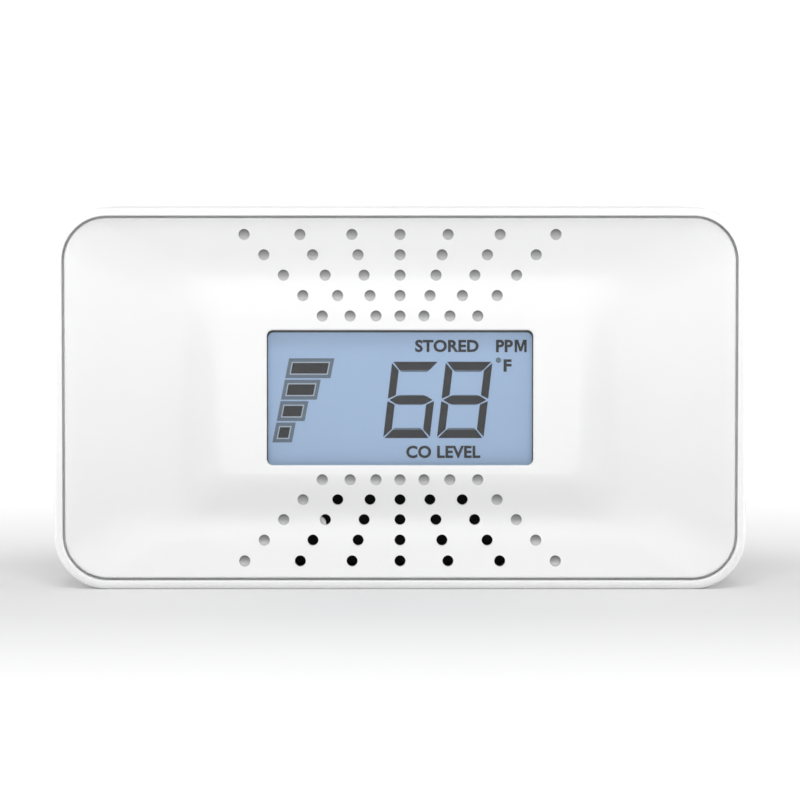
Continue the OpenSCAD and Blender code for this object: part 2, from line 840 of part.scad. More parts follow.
module test_switch_body() {
    color("dimgray") {
        difference() {
            block(-3.1, 3.1, test_switch_y - 1.8, y_board, test_switch_top - 6, test_switch_top);
            translate([0, test_switch_y, test_switch_top - 2.2]) cylinder(r = 1.4, h = 3);
        }
        for (sx = [-1, 1]) block(sx * 3.3 - 0.3, sx * 3.3 + 0.3, y_board - 1.6, y_board, 71.5, 73);
    }
}

module test_switch_plunger() {
    color("black") translate([0, test_switch_y, test_switch_top - 1.2])
        cylinder(r = 1.35, h = plunger_top - test_switch_top + 1.2);
}

// ---------- activation slider ----------

module activation_slider() {
    y_fork = y_board_back + switch_h + 0.9;
    color("firebrick") {
        difference() {
            slab(5, 5.4, 0.8, y_pocket + 0.1, y_back - 0.15, slider_x, slider_z);
            for (dx = [-1.2, 0, 1.2])
                block(slider_x + dx - 0.25, slider_x + dx + 0.25, y_back - 0.6, y_back,
                      slider_z - 2, slider_z + 2);
        }
        block(slider_x - stem_w / 2, slider_x + stem_w / 2, y_fork + 4, y_pocket + 0.2,
              slider_z - 1.4, slider_z + 1.4);
        block(slider_x - 3.5, slider_x + 3.5, y_slider_wall - 1.3, y_slider_wall - 0.15,
              slider_z - 3, slider_z + 3);
        for (s = [-1, 1])
            block(slider_x + (s > 0 ? lever_w / 2 + 0.05 : -2.5),
                  slider_x + (s > 0 ? 2.5 : -lever_w / 2 - 0.05),
                  y_fork, y_fork + 4.2, slider_z - 1.4, slider_z + 1.4);
        block(slider_x - 2.5, slider_x + 2.5, y_fork + 4, y_fork + 5, slider_z - 1.4, slider_z + 1.4);
    }
}

module activation_switch_body() {
    x0 = slider_x + slider_travel / 2;
    color("silver") difference() {
        block(x0 - 6, x0 + 6, y_board_back, y_board_back + switch_h, slider_z - 3, slider_z + 3);
        block(x0 - slider_travel / 2 - 1.2, x0 + slider_travel / 2 + 1.2,
              y_board_back + 2.5, y_board_back + switch_h + 1, slider_z - 1.2, slider_z + 1.2);
    }
}

module activation_switch_lever() {
    color("black") block(slider_x - lever_w / 2, slider_x + lever_w / 2, y_board_back + 2.6,
                         y_board_back + switch_h + 4.2, slider_z - 1, slider_z + 1);
}

housing();
front_panel();
rear_cover();
housing_screws();
rating_label();
display_window();
lcd_frame();
lcd_front_polarizer();
lcd_front_glass();
lcd_rear_glass();
lcd_rear_polarizer();
light_guide();
light_reflector();
backlight_leds();
zebra_strip();
main_board();
microcontroller();
chip_components();
capacitors();
booster_coil();
crystal();
thermistor();
board_screws();
sounder_horn();
horn_gasket();
piezo_disc();
piezo_ceramic();
sounder_cap();
sounder_contacts();
sensor_can();
sensor_filter_cap();
sensor_pins();
sensor_gasket();
battery_cell_left();
battery_cell_right();
battery_tabs();
battery_pads();
test_button();
test_switch_body();
test_switch_plunger();
activation_slider();
activation_switch_body();
activation_switch_lever();
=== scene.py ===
# %% [markdown]
# # A carbon monoxide detector
# The real detector is a white moulded case, about 155 mm wide, that stands on a shelf or hangs on a wall. Its
# glossy face is a shallow dish round a lit display, with rows of dimples and sound holes above and below. The
# solids that were designed in CAD are the fixed frame here: every piece below is made round them, in metres,
# with X to the right, Y from the front to the back and Z up.

# %% Load the frame
import json
import math

import bmesh
import bpy
from mathutils import Matrix, Vector


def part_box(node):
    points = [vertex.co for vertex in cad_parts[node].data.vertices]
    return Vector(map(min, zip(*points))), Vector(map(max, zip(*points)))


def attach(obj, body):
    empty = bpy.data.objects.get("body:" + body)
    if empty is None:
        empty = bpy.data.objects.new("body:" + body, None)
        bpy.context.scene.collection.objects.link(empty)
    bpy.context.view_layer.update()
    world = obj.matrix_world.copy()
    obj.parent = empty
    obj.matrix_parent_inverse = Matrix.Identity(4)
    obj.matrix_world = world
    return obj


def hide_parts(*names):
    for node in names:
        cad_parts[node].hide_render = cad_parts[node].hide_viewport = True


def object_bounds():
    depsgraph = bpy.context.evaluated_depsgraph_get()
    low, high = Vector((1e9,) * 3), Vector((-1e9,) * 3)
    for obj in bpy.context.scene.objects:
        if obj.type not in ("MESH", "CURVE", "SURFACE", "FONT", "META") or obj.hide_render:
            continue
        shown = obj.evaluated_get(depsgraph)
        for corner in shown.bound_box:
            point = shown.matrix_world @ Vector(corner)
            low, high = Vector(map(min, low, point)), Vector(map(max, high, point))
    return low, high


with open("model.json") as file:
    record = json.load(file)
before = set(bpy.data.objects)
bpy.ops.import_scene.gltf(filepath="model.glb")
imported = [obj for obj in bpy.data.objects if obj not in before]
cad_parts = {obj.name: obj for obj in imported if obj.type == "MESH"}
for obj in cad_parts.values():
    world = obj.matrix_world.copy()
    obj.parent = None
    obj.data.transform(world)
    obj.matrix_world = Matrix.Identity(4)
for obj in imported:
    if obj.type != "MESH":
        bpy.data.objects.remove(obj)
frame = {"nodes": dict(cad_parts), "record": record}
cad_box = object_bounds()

MM = 0.001
low, high = cad_box
mid = (low + high) / 2
print("CAD box in mm:", [round(x / MM, 2) for x in (*low, *high)])

# %% [markdown]
# ## The camera
# A long lens from about a metre keeps the front square. It looks down by a few degrees, so that a little of
# the inner side of the lower rim shows. The camera comes first, because everything else is judged through it.

# %% Camera
CAMERA_DISTANCE = 0.9
CAMERA_ELEVATION = math.radians(3.0)
LENS_MM = 181.3
AIM_DROP = 0.3
camera = bpy.data.objects.new("camera", bpy.data.cameras.new("camera"))
camera.data.lens = LENS_MM
camera.data.clip_end = 50
aim = Vector((mid.x, low.y, mid.z - AIM_DROP * MM))
camera.location = aim + CAMERA_DISTANCE * Vector((0, -math.cos(CAMERA_ELEVATION), math.sin(CAMERA_ELEVATION)))
camera.rotation_euler = (math.pi / 2 - CAMERA_ELEVATION, 0, 0)
bpy.context.scene.collection.objects.link(camera)
bpy.context.scene.camera = camera
print("camera at", [round(x, 3) for x in camera.location])

# %% [markdown]
# ## Nodes as expressions
# Materials and geometry trees are both graphs of nodes. Wired by hand they are hard to read, so one small
# class wraps a socket and gives it the operators of arithmetic: a * 2 + b adds two Math nodes and returns a
# new socket. Every other kind of node comes from Net.add, which takes its type, its settings and its inputs.


# %% Sockets that do arithmetic
class Sock:
    def __init__(self, net, out):
        self.net, self.out = net, out

    def op(self, name, *others, **settings):
        values = dict(enumerate((self, *others)))
        return self.net.add("ShaderNodeMath", {"operation": name, **settings}, values)[0]

    def __add__(self, other): return self.op("ADD", other)
    def __sub__(self, other): return self.op("SUBTRACT", other)
    def __mul__(self, other): return self.op("MULTIPLY", other)
    def __truediv__(self, other): return self.op("DIVIDE", other)
    def __pow__(self, other): return self.op("POWER", other)
    def __radd__(self, other): return self + other
    def __rmul__(self, other): return self * other
    def __rsub__(self, other): return self * -1 + other
    def __gt__(self, other): return self.op("GREATER_THAN", other)
    def __lt__(self, other): return self.op("LESS_THAN", other)

    def share(self, start, end):
        """How far this value has come from start to end, kept between 0 and 1."""
        return ((self - start) / (end - start)).op("ADD", 0.0, use_clamp=True)


class Net:
    def __init__(self, tree):
        self.tree = tree

    def add(self, kind, settings=None, inputs=None):
        node = self.tree.nodes.new(kind)
        for key, value in (settings or {}).items():
            if key == "ramp":
                stops = node.color_ramp.elements
                while len(stops) < len(value):
                    stops.new(0.5)
                for stop, (place, colour) in zip(stops, value):
                    stop.position, stop.color = place, colour
            else:
                setattr(node, key, value)
        for key, value in (inputs or {}).items():
            for one in value if isinstance(value, list) else [value]:
                if isinstance(one, Sock):
                    self.tree.links.new(one.out, node.inputs[key])
                else:
                    node.inputs[key].default_value = one
        return Made(self, node)


class Made:
    def __init__(self, net, node):
        self.net, self.node = net, node

    def __getitem__(self, key):
        return Sock(self.net, self.node.outputs[key])


print("node helpers ready")

# %% [markdown]
# ## Finishes
# Every finish is procedural. It reads Object coordinates in metres, so the scale of its grain is a real size.
# Moulded plastic isn't perfectly even: its gloss varies a little over centimetres and its skin has a very
# fine ripple. One function makes all the plastics, metals and foams from a few numbers, because they differ
# only in those.


# %% Surface finishes
DRIFT_SCALE, DRIFT_RANGE = 60.0, (0.3, 0.7)


def colour_mix(net, factor, a, b):
    return net.add("ShaderNodeMix", {"data_type": "RGBA"}, {0: factor, 6: (*a, 1), 7: (*b, 1)})[2]


def noise(net, place, scale, detail=3.0):
    return net.add("ShaderNodeTexNoise", None, {"Vector": place, "Scale": scale, "Detail": detail})["Fac"]


def finish(name, colour, rough, grain=2500.0, ripple=0.02, vary=0.03, shade=0.97, stretch=(1, 1, 1), **fixed):
    """A material whose colour and gloss drift over the surface and whose skin has a fine grain.
    ripple is the height of the grain in mm, shade is how dark the colour gets, and stretch draws the grain
    out into brushing."""
    material = bpy.data.materials.new(name)
    material.use_nodes = True
    net = Net(material.node_tree)
    shader = net.tree.nodes["Principled BSDF"]
    place = net.add("ShaderNodeTexCoord")["Object"]
    drawn = net.add("ShaderNodeMapping", None, {"Vector": place, "Scale": stretch})["Vector"]
    drift = noise(net, place, DRIFT_SCALE)
    skin = noise(net, drawn, grain, 2.0)
    tint = colour_mix(net, drift.share(*DRIFT_RANGE), [c * shade for c in colour[:3]], colour[:3])
    bump = net.add("ShaderNodeBump", None, {"Height": skin, "Distance": ripple * MM, "Strength": 1.0})
    net.tree.links.new(tint.out, shader.inputs["Base Color"])
    net.tree.links.new((rough + (drift - 0.5) * vary).out, shader.inputs["Roughness"])
    net.tree.links.new(bump["Normal"].out, shader.inputs["Normal"])
    for key, value in fixed.items():
        shader.inputs[key.replace("_", " ")].default_value = value
    return material


WHITE = (0.86, 0.86, 0.86)
FINISHES = {
    "case_white": finish("case_white", (0.92, 0.92, 0.92), 0.30, 900.0, 0.004, 0.06, Specular_IOR_Level=0.5),
    "panel_white": finish("panel_white", WHITE, 0.22, 500.0, 0.002, 0.04, 0.99, Specular_IOR_Level=0.5),
    "screw_steel": finish("screw_steel", (0.55, 0.55, 0.57), 0.32, 3000.0, 0.02, 0.2, 0.7, Metallic=1.0),
    "label_silver": finish("label_silver", (0.72, 0.73, 0.74), 0.42, 900.0, 0.01, 0.1, 0.9, (1, 30, 30),
                           Metallic=0.9),
    "carrier_white": finish("carrier_white", (0.80, 0.80, 0.77), 0.5, 1500.0, 0.01),
    "guide_clear": finish("guide_clear", (0.62, 0.74, 0.90), 0.12, 800.0, 0.002, Alpha=0.6),
    "display_glass": finish("display_glass", (0.75, 0.86, 0.94), 0.06, 800.0, 0.0005, Alpha=0.35),
    "film_grey": finish("film_grey", (0.45, 0.52, 0.62), 0.25, 1500.0, 0.001, Alpha=0.5),
    "led_ivory": finish("led_ivory", (0.85, 0.80, 0.45), 0.3, 2000.0, 0.01),
    "connector_pink": finish("connector_pink", (0.72, 0.30, 0.36), 0.7, 6000.0, 0.05, 0.1, 0.6, (40, 1, 1)),
    "board_green": finish("board_green", (0.02, 0.16, 0.06), 0.35, 1200.0, 0.03, 0.1, 0.75),
    "chip_black": finish("chip_black", (0.02, 0.02, 0.022), 0.55, 4000.0, 0.03, 0.1, 0.8),
    "chip_ceramic": finish("chip_ceramic", (0.42, 0.30, 0.18), 0.45, 3000.0, 0.02, 0.1, 0.75),
    "capacitor_sleeve": finish("capacitor_sleeve", (0.03, 0.04, 0.10), 0.25, 900.0, 0.01, 0.1, 0.8),
    "coil_copper": finish("coil_copper", (0.60, 0.26, 0.12), 0.3, 5000.0, 0.05, 0.1, 0.6, (1, 30, 1),
                          Metallic=1.0),
    "plated_metal": finish("plated_metal", (0.66, 0.66, 0.64), 0.3, 2500.0, 0.01, 0.15, 0.85, Metallic=1.0),
    "black_plastic": finish("black_plastic", (0.012, 0.012, 0.013), 0.5, 1500.0, 0.02, 0.1, 0.7),
    "foam_black": finish("foam_black", (0.02, 0.02, 0.021), 0.95, 2200.0, 0.25, 0.05, 0.5),
    "brass": finish("brass", (0.76, 0.56, 0.25), 0.28, 2500.0, 0.01, 0.15, 0.8, Metallic=1.0),
    "piezo_white": finish("piezo_white", (0.78, 0.78, 0.72), 0.5, 3000.0, 0.02, 0.1, 0.85),
    "cell_wrap": finish("cell_wrap", (0.05, 0.14, 0.38), 0.22, 700.0, 0.01, 0.08, 0.8),
    "slider_red": finish("slider_red", (0.50, 0.02, 0.018), 0.35, 1500.0, 0.01, 0.06, 0.85),
    "window_clear": finish("window_clear", (0.5, 0.52, 0.55), 0.05, 800.0, 0.0002, 0.02, 0.99, Alpha=0.03),
}
SLOT_OF = {s["node"]: s["material_slot"] for s in frame["record"]["subparts"]}
print(len(FINISHES), "finishes for", len(SLOT_OF), "CAD nodes")

# %% [markdown]
# ## CAD nodes that stay
# The pieces inside the case, such as the board, the horn, the sensor and the battery cells, are right as they
# were designed. They keep their meshes and only get a better finish, from the slot that the record gives
# each.

# %% Finish the CAD nodes
for name, obj in frame["nodes"].items():
    obj.data.materials.clear()
    obj.data.materials.append(FINISHES[SLOT_OF[name]])
print("finished", len(frame["nodes"]), "nodes")

# %% [markdown]
# ## Outlines
# Nearly every part of the case is a rounded rectangle. One rule gives a point on its outline: go up the right
# side, round the corner and along the top, then mirror that quarter into the other three. The same rule is
# written twice, here in Python and later in nodes.

# %% Rounded outlines in Python
SIDE_STEPS, ARC_STEPS, TOP_STEPS = 14, 14, 30
QUARTER = SIDE_STEPS + ARC_STEPS + TOP_STEPS
SHARP = math.radians(32)


def outline(half_w, half_h, radius, steps=(SIDE_STEPS, ARC_STEPS, TOP_STEPS)):
    """Points of a rounded rectangle, counterclockwise from the middle of its right side."""
    side, arc, top = steps
    quarter = [(half_w, (half_h - radius) * i / side) for i in range(side)]
    for i in range(arc):
        a = math.pi / 2 * i / arc
        quarter.append((half_w - radius + radius * math.cos(a), half_h - radius + radius * math.sin(a)))
    quarter += [((half_w - radius) * (1 - i / top), half_h) for i in range(top)]
    turned = [(-x, z) for x, z in [(0, half_h), *quarter[:0:-1]]]
    upper = quarter + turned
    return upper + [(-x, -z) for x, z in upper]


def rounded_path(points, steps=5, long=1.0, margin=0.2):
    """A path of (inset, depth, radius) with each corner replaced by an arc of that radius.
    Where a long straight run meets an arc, a point close to the joint keeps the run's shading flat."""
    path = []
    for i, (x, y, r) in enumerate(points):
        if not r:
            path.append((x, y))
            continue
        here = Vector((x, y))
        before = (Vector(points[i - 1][:2]) - here).normalized()
        after = (Vector(points[(i + 1) % len(points)][:2]) - here).normalized()
        half = before.angle(after) / 2
        start, end = here + before * r / math.tan(half), here + after * r / math.tan(half)
        centre = here + (before + after).normalized() * r / math.sin(half)
        sweep_angle = (start - centre).angle_signed(end - centre)
        if (Vector(points[i - 1][:2]) - start).length > long:
            path.append(tuple(start + before * margin))
        for k in range(steps + 1):
            turned = Matrix.Rotation(-sweep_angle * k / steps, 2) @ (start - centre)
            path.append(tuple(centre + turned))
        if (Vector(points[(i + 1) % len(points)][:2]) - end).length > long:
            path.append(tuple(end + after * margin))
    return path


def shade(mesh):
    mesh.shade_smooth()
    mesh.set_sharp_from_angle(angle=SHARP)


def mesh_object(name, bm, material=None, matrix=None):
    """An object at the origin from a bmesh, with doubles merged, faces outward and only sharp edges creased."""
    bmesh.ops.remove_doubles(bm, verts=bm.verts, dist=1e-6)
    if matrix is not None:
        bm.transform(matrix)
    bmesh.ops.recalc_face_normals(bm, faces=bm.faces)
    mesh = bpy.data.meshes.new(name)
    bm.to_mesh(mesh)
    bm.free()
    shade(mesh)
    obj = bpy.data.objects.new(name, mesh)
    bpy.context.scene.collection.objects.link(obj)
    if material is not None:
        mesh.materials.append(material)
    return obj


def sweep(name, path, half_w, half_h, radius, centre=(0, 0), caps=False,
          steps=(SIDE_STEPS, ARC_STEPS, TOP_STEPS), material=None, matrix=None):
    """Carries a path of (inset, depth) in mm round a rounded rectangle. Without caps the path is closed."""
    bm = bmesh.new()
    rings = []
    for inset, depth in path:
        line = outline(half_w - inset, half_h - inset, max(radius - inset, 0.001), steps)
        rings.append([bm.verts.new(((centre[0] + x) * MM, depth * MM, (centre[1] + z) * MM)) for x, z in line])
    pairs = list(zip(rings, rings[1:])) + ([] if caps else [(rings[-1], rings[0])])
    for a, b in pairs:
        for i in range(len(a)):
            j = (i + 1) % len(a)
            bm.faces.new((a[i], a[j], b[j], b[i]))
    if caps:
        bm.faces.new(rings[0])
        bm.faces.new(rings[-1])
    return mesh_object(name, bm, material, matrix)


print("outline points:", len(outline(10, 5, 2)))

# %% [markdown]
# ## Cutting and joining
# A hole with a shape of its own is cut with a Boolean modifier, and the result is turned into a plain mesh,
# because the finished piece must not depend on its cutters.


# %% Cut, join and keep
BAR_SIDES = 40


def evaluated(obj):
    depsgraph = bpy.context.evaluated_depsgraph_get()
    return bpy.data.meshes.new_from_object(obj.evaluated_get(depsgraph))


def boolean(obj, cutters, operation="DIFFERENCE"):
    for cutter in cutters:
        modifier = obj.modifiers.new("cut", "BOOLEAN")
        modifier.operation, modifier.object, modifier.solver = operation, cutter, "MANIFOLD"
    mesh = evaluated(obj)
    obj.modifiers.clear()
    obj.data = mesh
    for cutter in cutters:
        bpy.data.objects.remove(cutter)
    shade(mesh)
    return obj


def join(obj, others):
    bm = bmesh.new()
    bm.from_mesh(obj.data)
    for other in others:
        bm.from_mesh(other.data)
        bpy.data.objects.remove(other)
    bm.to_mesh(obj.data)
    bm.free()
    shade(obj.data)
    return obj


def keep(obj, body, slot, *nodes):
    """Hangs a finished piece on its body, gives it its slot's finish if it has none, and hides the CAD nodes it
    stands for.
    A cut leaves an empty material slot behind, so a mesh with no real material is cleared first."""
    if not any(obj.data.materials):
        obj.data.materials.clear()
        obj.data.materials.append(FINISHES[slot])
    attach(obj, body)
    if nodes:
        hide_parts(*nodes)
    print(obj.name, "has", sum(len(p.vertices) - 2 for p in obj.data.polygons), "triangles")


def bar(name, radius, y0, y1, x, z):
    """A round bar along Y, in mm."""
    bm = bmesh.new()
    bmesh.ops.create_cone(bm, cap_ends=True, segments=BAR_SIDES, radius1=radius * MM, radius2=radius * MM,
                          depth=(y1 - y0) * MM)
    place = Matrix.Translation((x * MM, (y0 + y1) / 2 * MM, z * MM)) @ Matrix.Rotation(math.pi / 2, 4, "X")
    return mesh_object(name, bm, matrix=place)


def tablet(name, w, h, r, y0, y1, x, z, edge=0.0):
    """A rounded rectangular block from y0 to y1, in mm, with its front and back edges rounded by edge."""
    path = [(r, y0, 0), (0, y0, edge), (0, y1, edge), (r, y1, 0)] if edge else [(0, y0, 0), (0, y1, 0)]
    inset = rounded_path(path, 3)
    if edge:
        inset = [(d, y) for d, y in inset[1:-1]]
    return sweep(name, inset, w / 2, h / 2, r, (x, z), caps=True, steps=(2, 6, 2))


print("cutting helpers ready")

# %% [markdown]
# ## The dished front panel
# On the real detector this is one glossy moulding that snaps into the housing. Its surface follows a rule:
# flat ground round the display that leans forward at the bottom, an eased slope down to a valley, and then a
# wall that bends up and runs straight to the rim. That suits Geometry Nodes. A grid has one direction that
# runs round the outline and one that runs from the display out to the edge, and a Set Position node lays each
# point by the rule. The dimples and sound holes repeat in ten fanned rows, so the same tree spreads cutters
# over points and cuts them out. What the cutters leave gets a matt finish painted a darker grey, darkest where
# it faces down: painted shade for the inside of each small hollow, whose upper part lies in its own shade. A
# moulded pin behind the panel shows through one of the sound holes.

# %% Sizes of the panel
panel_low, panel_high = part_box("front_panel")
MID_Z = mid.z / MM
PANEL_Y = panel_low.y / MM
PANEL = {
    "Opening": (29.9, 15.15, 1.4),
    "Plateau": (39.4, 17.0, 3.0),
    "Valley": (50.2, 27.0, 7.0),
    "Edge": (panel_high.x / MM, (panel_high.z - panel_low.z) / 2 / MM, 9.6),
    "Plateau Depth": 2.4,
    "Plateau Lean": 1.4,
    "Valley Depth": 3.2,
    "Thickness": 2.0,
    "Hole Radius": 1.25,
    "Dimple Depth": 1.3,
}
print("panel's half size in mm:", PANEL["Edge"])

# %% Geometry helpers
RING_STOPS = (0.0, 0.04, 0.12, 0.42, 0.95, 1.0)
RINGS = 100
ROUND = 0.35
BEND_SHARE = 0.45


def geometry_tree(name, sizes):
    """A geometry tree with one named input for each entry of sizes, and a Net and sockets to build it with."""
    tree = bpy.data.node_groups.new(name, "GeometryNodeTree")
    tree.interface.new_socket("Geometry", in_out="OUTPUT", socket_type="NodeSocketGeometry")
    kinds = {tuple: "NodeSocketVector", float: "NodeSocketFloat", int: "NodeSocketInt",
             bpy.types.Material: "NodeSocketMaterial"}
    for key, value in sizes.items():
        tree.interface.new_socket(key, in_out="INPUT", socket_type=kinds[type(value)])
    net = Net(tree)
    source = net.add("NodeGroupInput")
    return net, source


def grow(name, net, geometry, sizes, shaded_hole_faces=None):
    """Ends the tree, runs it on an empty mesh with its inputs set and returns the result as a plain object."""
    source = source_of(net)
    whole = net.add("GeometryNodeRealizeInstances", None, {"Geometry": geometry})[0]
    painted = net.add("GeometryNodeSetMaterial", None, {"Geometry": whole, "Material": source["Material"]})[0]
    if shaded_hole_faces:
        painted = net.add("GeometryNodeSetMaterial", None, {
            "Geometry": painted, "Selection": shaded_hole_faces, "Material": source["Hole Shade Material"]})[0]
    out = net.tree.nodes.new("NodeGroupOutput")
    net.tree.links.new(painted.out, out.inputs[0])
    obj = bpy.data.objects.new(name, bpy.data.meshes.new(name))
    bpy.context.scene.collection.objects.link(obj)
    modifier = obj.modifiers.new("tree", "NODES")
    modifier.node_group = net.tree
    for item in net.tree.interface.items_tree:
        if item.in_out == "INPUT":
            modifier[item.identifier] = sizes[item.name]
    mesh = evaluated(obj)
    obj.modifiers.clear()
    obj.data = mesh
    materials = list(mesh.materials)
    used = [materials[p.material_index] for p in mesh.polygons]
    filled = [m for m in materials if m]
    mesh.materials.clear()
    for material in filled:
        mesh.materials.append(material)
    mesh.polygons.foreach_set("material_index", [filled.index(m) for m in used])
    return obj


def source_of(net):
    return Made(net, next(n for n in net.tree.nodes if n.bl_idname == "NodeGroupInput"))


def parts(net, value):
    made = net.add("ShaderNodeSeparateXYZ", None, {0: value})
    return made[0], made[1], made[2]


def vector(net, x, y, z):
    return net.add("ShaderNodeCombineXYZ", None, {0: x, 1: y, 2: z})[0]


def outline_nodes(net, u, half_w, half_h, radius):
    """The rule of outline() in nodes: u runs once round, from 0 to 1."""
    t = u * 4
    f = t.op("PINGPONG", 1.0) * QUARTER
    side, arc = f.share(0, SIDE_STEPS), f.share(SIDE_STEPS, SIDE_STEPS + ARC_STEPS)
    top = f.share(SIDE_STEPS + ARC_STEPS, QUARTER)
    angle = arc * (math.pi / 2)
    x = (half_w - radius) * (1 - top) + radius * angle.op("COSINE")
    z = (half_h - radius) * side + radius * angle.op("SINE")
    return x * (1 - 2 * (t > 1) * (t < 3)), z * (1 - 2 * (t > 2))


def face_depth(source, slope, rise, height):
    """How far behind the panel's edge the face lies at a share of the slope and of the wall, at a height."""
    eased = slope * slope * (3 - 2 * slope)
    bent, straight = rise.op("MINIMUM", BEND_SHARE), (rise - BEND_SHARE).op("MAXIMUM", 0.0)
    risen = (bent * bent + 2 * BEND_SHARE * straight) / (2 * BEND_SHARE - BEND_SHARE ** 2)
    level = parts(slope.net, source["Plateau"])[1]
    lean = source["Plateau Lean"] * (1 - (height / level).op("MAXIMUM", -1.0).op("MINIMUM", 1.0)) / 2
    plateau_depth, valley_depth = source["Plateau Depth"], source["Valley Depth"]
    return plateau_depth + (valley_depth - plateau_depth) * eased - lean * (1 - eased) - valley_depth * risen


print("geometry helpers ready")

# %% The dish
# Painted shade: the faces that the cutters leave are painted a darker grey, darkest where they face down, for
# the shade inside the dimples and sound holes.
hole_shade = finish("dimple_painted_shade", (0.7, 0.7, 0.7), 0.75, 1500.0, 0.01, 0.1, 0.95)
net = Net(hole_shade.node_tree)
facing_up = parts(net, net.add("ShaderNodeNewGeometry")["Normal"])[2]
shaded = colour_mix(net, facing_up.share(-0.55, 0.3), (0.26, 0.26, 0.265), (0.68, 0.68, 0.685))
net.tree.links.new(shaded.out, hole_shade.node_tree.nodes["Principled BSDF"].inputs["Base Color"])
sizes = {**PANEL, "Material": FINISHES["panel_white"], "Hole Shade Material": hole_shade}
net, source = geometry_tree("dished panel", sizes)
grid = net.add("GeometryNodeMeshGrid", None, {"Size X": 1.0, "Size Y": 1.0, "Vertices X": 4 * QUARTER + 1,
                                              "Vertices Y": RINGS + 1})
x, y, z = parts(net, net.add("GeometryNodeInputPosition")[0])
u, v = x + 0.5, y + 0.5
lip, level, slope, rise, brim = [v.share(a, b) for a, b in zip(RING_STOPS, RING_STOPS[1:])]
lines = [parts(net, source[key]) for key in ("Opening", "Plateau", "Valley", "Edge")]
start, plateau, valley, edge = lines
lip_turn, brim_turn = lip * (math.pi / 2), brim * (math.pi / 2)
grown = ROUND * (1 - lip_turn.op("COSINE"))
trimmed = ROUND * (1 - brim_turn.op("SINE"))
half_w, half_h, radius = [
    start[i] + grown + (plateau[i] - start[i] - ROUND) * level + (valley[i] - plateau[i]) * slope
    + (edge[i] - valley[i] - ROUND) * rise + ROUND * brim_turn.op("SINE") for i in range(3)]
px, pz = outline_nodes(net, u, half_w, half_h, radius)
rounding = ROUND * (1 - lip_turn.op("SINE")) + ROUND * (1 - brim_turn.op("COSINE"))
depth = face_depth(source, slope, rise, pz) + rounding
laid = net.add("GeometryNodeSetPosition", None, {
    "Geometry": grid["Mesh"], "Position": vector(net, px * MM, (depth + PANEL_Y) * MM, (pz + MID_Z) * MM)})[0]
laid = net.add("GeometryNodeMergeByDistance", None, {"Geometry": laid, "Distance": 1e-6})[0]
thick = vector(net, 0.0, source["Thickness"] * MM, 0.0)
back = net.add("GeometryNodeExtrudeMesh", None, {
    "Mesh": laid, "Offset": thick, "Offset Scale": 1.0, "Individual": False})[0]
front = net.add("GeometryNodeFlipFaces", None, {"Mesh": laid})[0]
both = net.add("GeometryNodeJoinGeometry", None, {0: [back, front]})[0]
solid = net.add("GeometryNodeMergeByDistance", None, {"Geometry": both, "Distance": 1e-6})[0]
print("the dish has", 4 * QUARTER * RINGS, "faces before it is cut")

# %% The holes
ROWS, COLUMNS = 5, 7
SHAFT, REACH, BLUNT = 3.0, 4.0, 0.4
FIRST_ROW, ROW_PITCH = 18.35, 4.57
COLUMN_PITCH, CROWDING, FAN = 5.38, 0.04, 2.0
index = net.add("GeometryNodeInputIndex")[0]
side = (index / (ROWS * COLUMNS)).op("FLOOR")
row = ((index / COLUMNS).op("FLOOR")).op("MODULO", float(ROWS))
column = index.op("MODULO", float(COLUMNS)) - (COLUMNS - 1) / 2
far = column.op("ABSOLUTE")
hole_x = column * (1 + CROWDING * (far - 1)) * COLUMN_PITCH * (1 + (FAN - 1) / (ROWS - 1) * row)
hole_h = FIRST_ROW + ROW_PITCH * row
hole_z = hole_h * (1 - 2 * side)
skin = face_depth(source, hole_h.share(plateau[1], valley[1]), hole_h.share(valley[1], edge[1]), hole_z)
through = (side > 0.5) * (row > 0.5) * (far < 2.5)
points = net.add("GeometryNodePoints", None, {"Count": 2 * ROWS * COLUMNS, "Position": vector(
    net, hole_x * MM, (PANEL_Y + skin) * MM, (MID_Z + hole_z) * MM)})[0]
bit = net.add("GeometryNodeMeshUVSphere", None, {
    "Segments": 32, "Rings": 16, "Radius": source["Hole Radius"] * MM})["Mesh"]
along = parts(net, net.add("GeometryNodeInputPosition")[0])[2]
shaft = net.add("GeometryNodeSetPosition", None, {
    "Geometry": bit, "Selection": along > 0.1 * MM, "Offset": vector(net, 0.0, 0.0, SHAFT * MM)})[0]
tip_x, tip_y, tip_z = parts(net, net.add("GeometryNodeInputPosition")[0])
sunk = source["Dimple Depth"] - (1 - BLUNT) * source["Hole Radius"]
squashed = net.add("GeometryNodeSetPosition", None, {"Geometry": shaft, "Position": vector(
    net, tip_x, tip_y, tip_z * (1 - (tip_z < 0) * BLUNT) - sunk * MM)})[0]
longer = net.add("GeometryNodeSetPosition", None, {
    "Geometry": squashed, "Selection": parts(net, net.add("GeometryNodeInputPosition")[0])[2] < 0.5 * MM,
    "Offset": vector(net, 0.0, 0.0, -REACH * MM)})[0]
bits = [net.add("GeometryNodeInstanceOnPoints", None, {
    "Points": points, "Instance": shape, "Selection": chosen, "Rotation": (math.pi / 2, 0, 0)})[0]
    for shape, chosen in ((squashed, through < 0.5), (longer, through > 0.5))]
drills = net.add("GeometryNodeRealizeInstances", None, {
    "Geometry": net.add("GeometryNodeJoinGeometry", None, {0: bits})[0]})[0]
drills = net.add("GeometryNodeStoreNamedAttribute", {"data_type": "BOOLEAN", "domain": "FACE"},
                 {"Geometry": drills, "Name": "cut", "Value": True})[0]
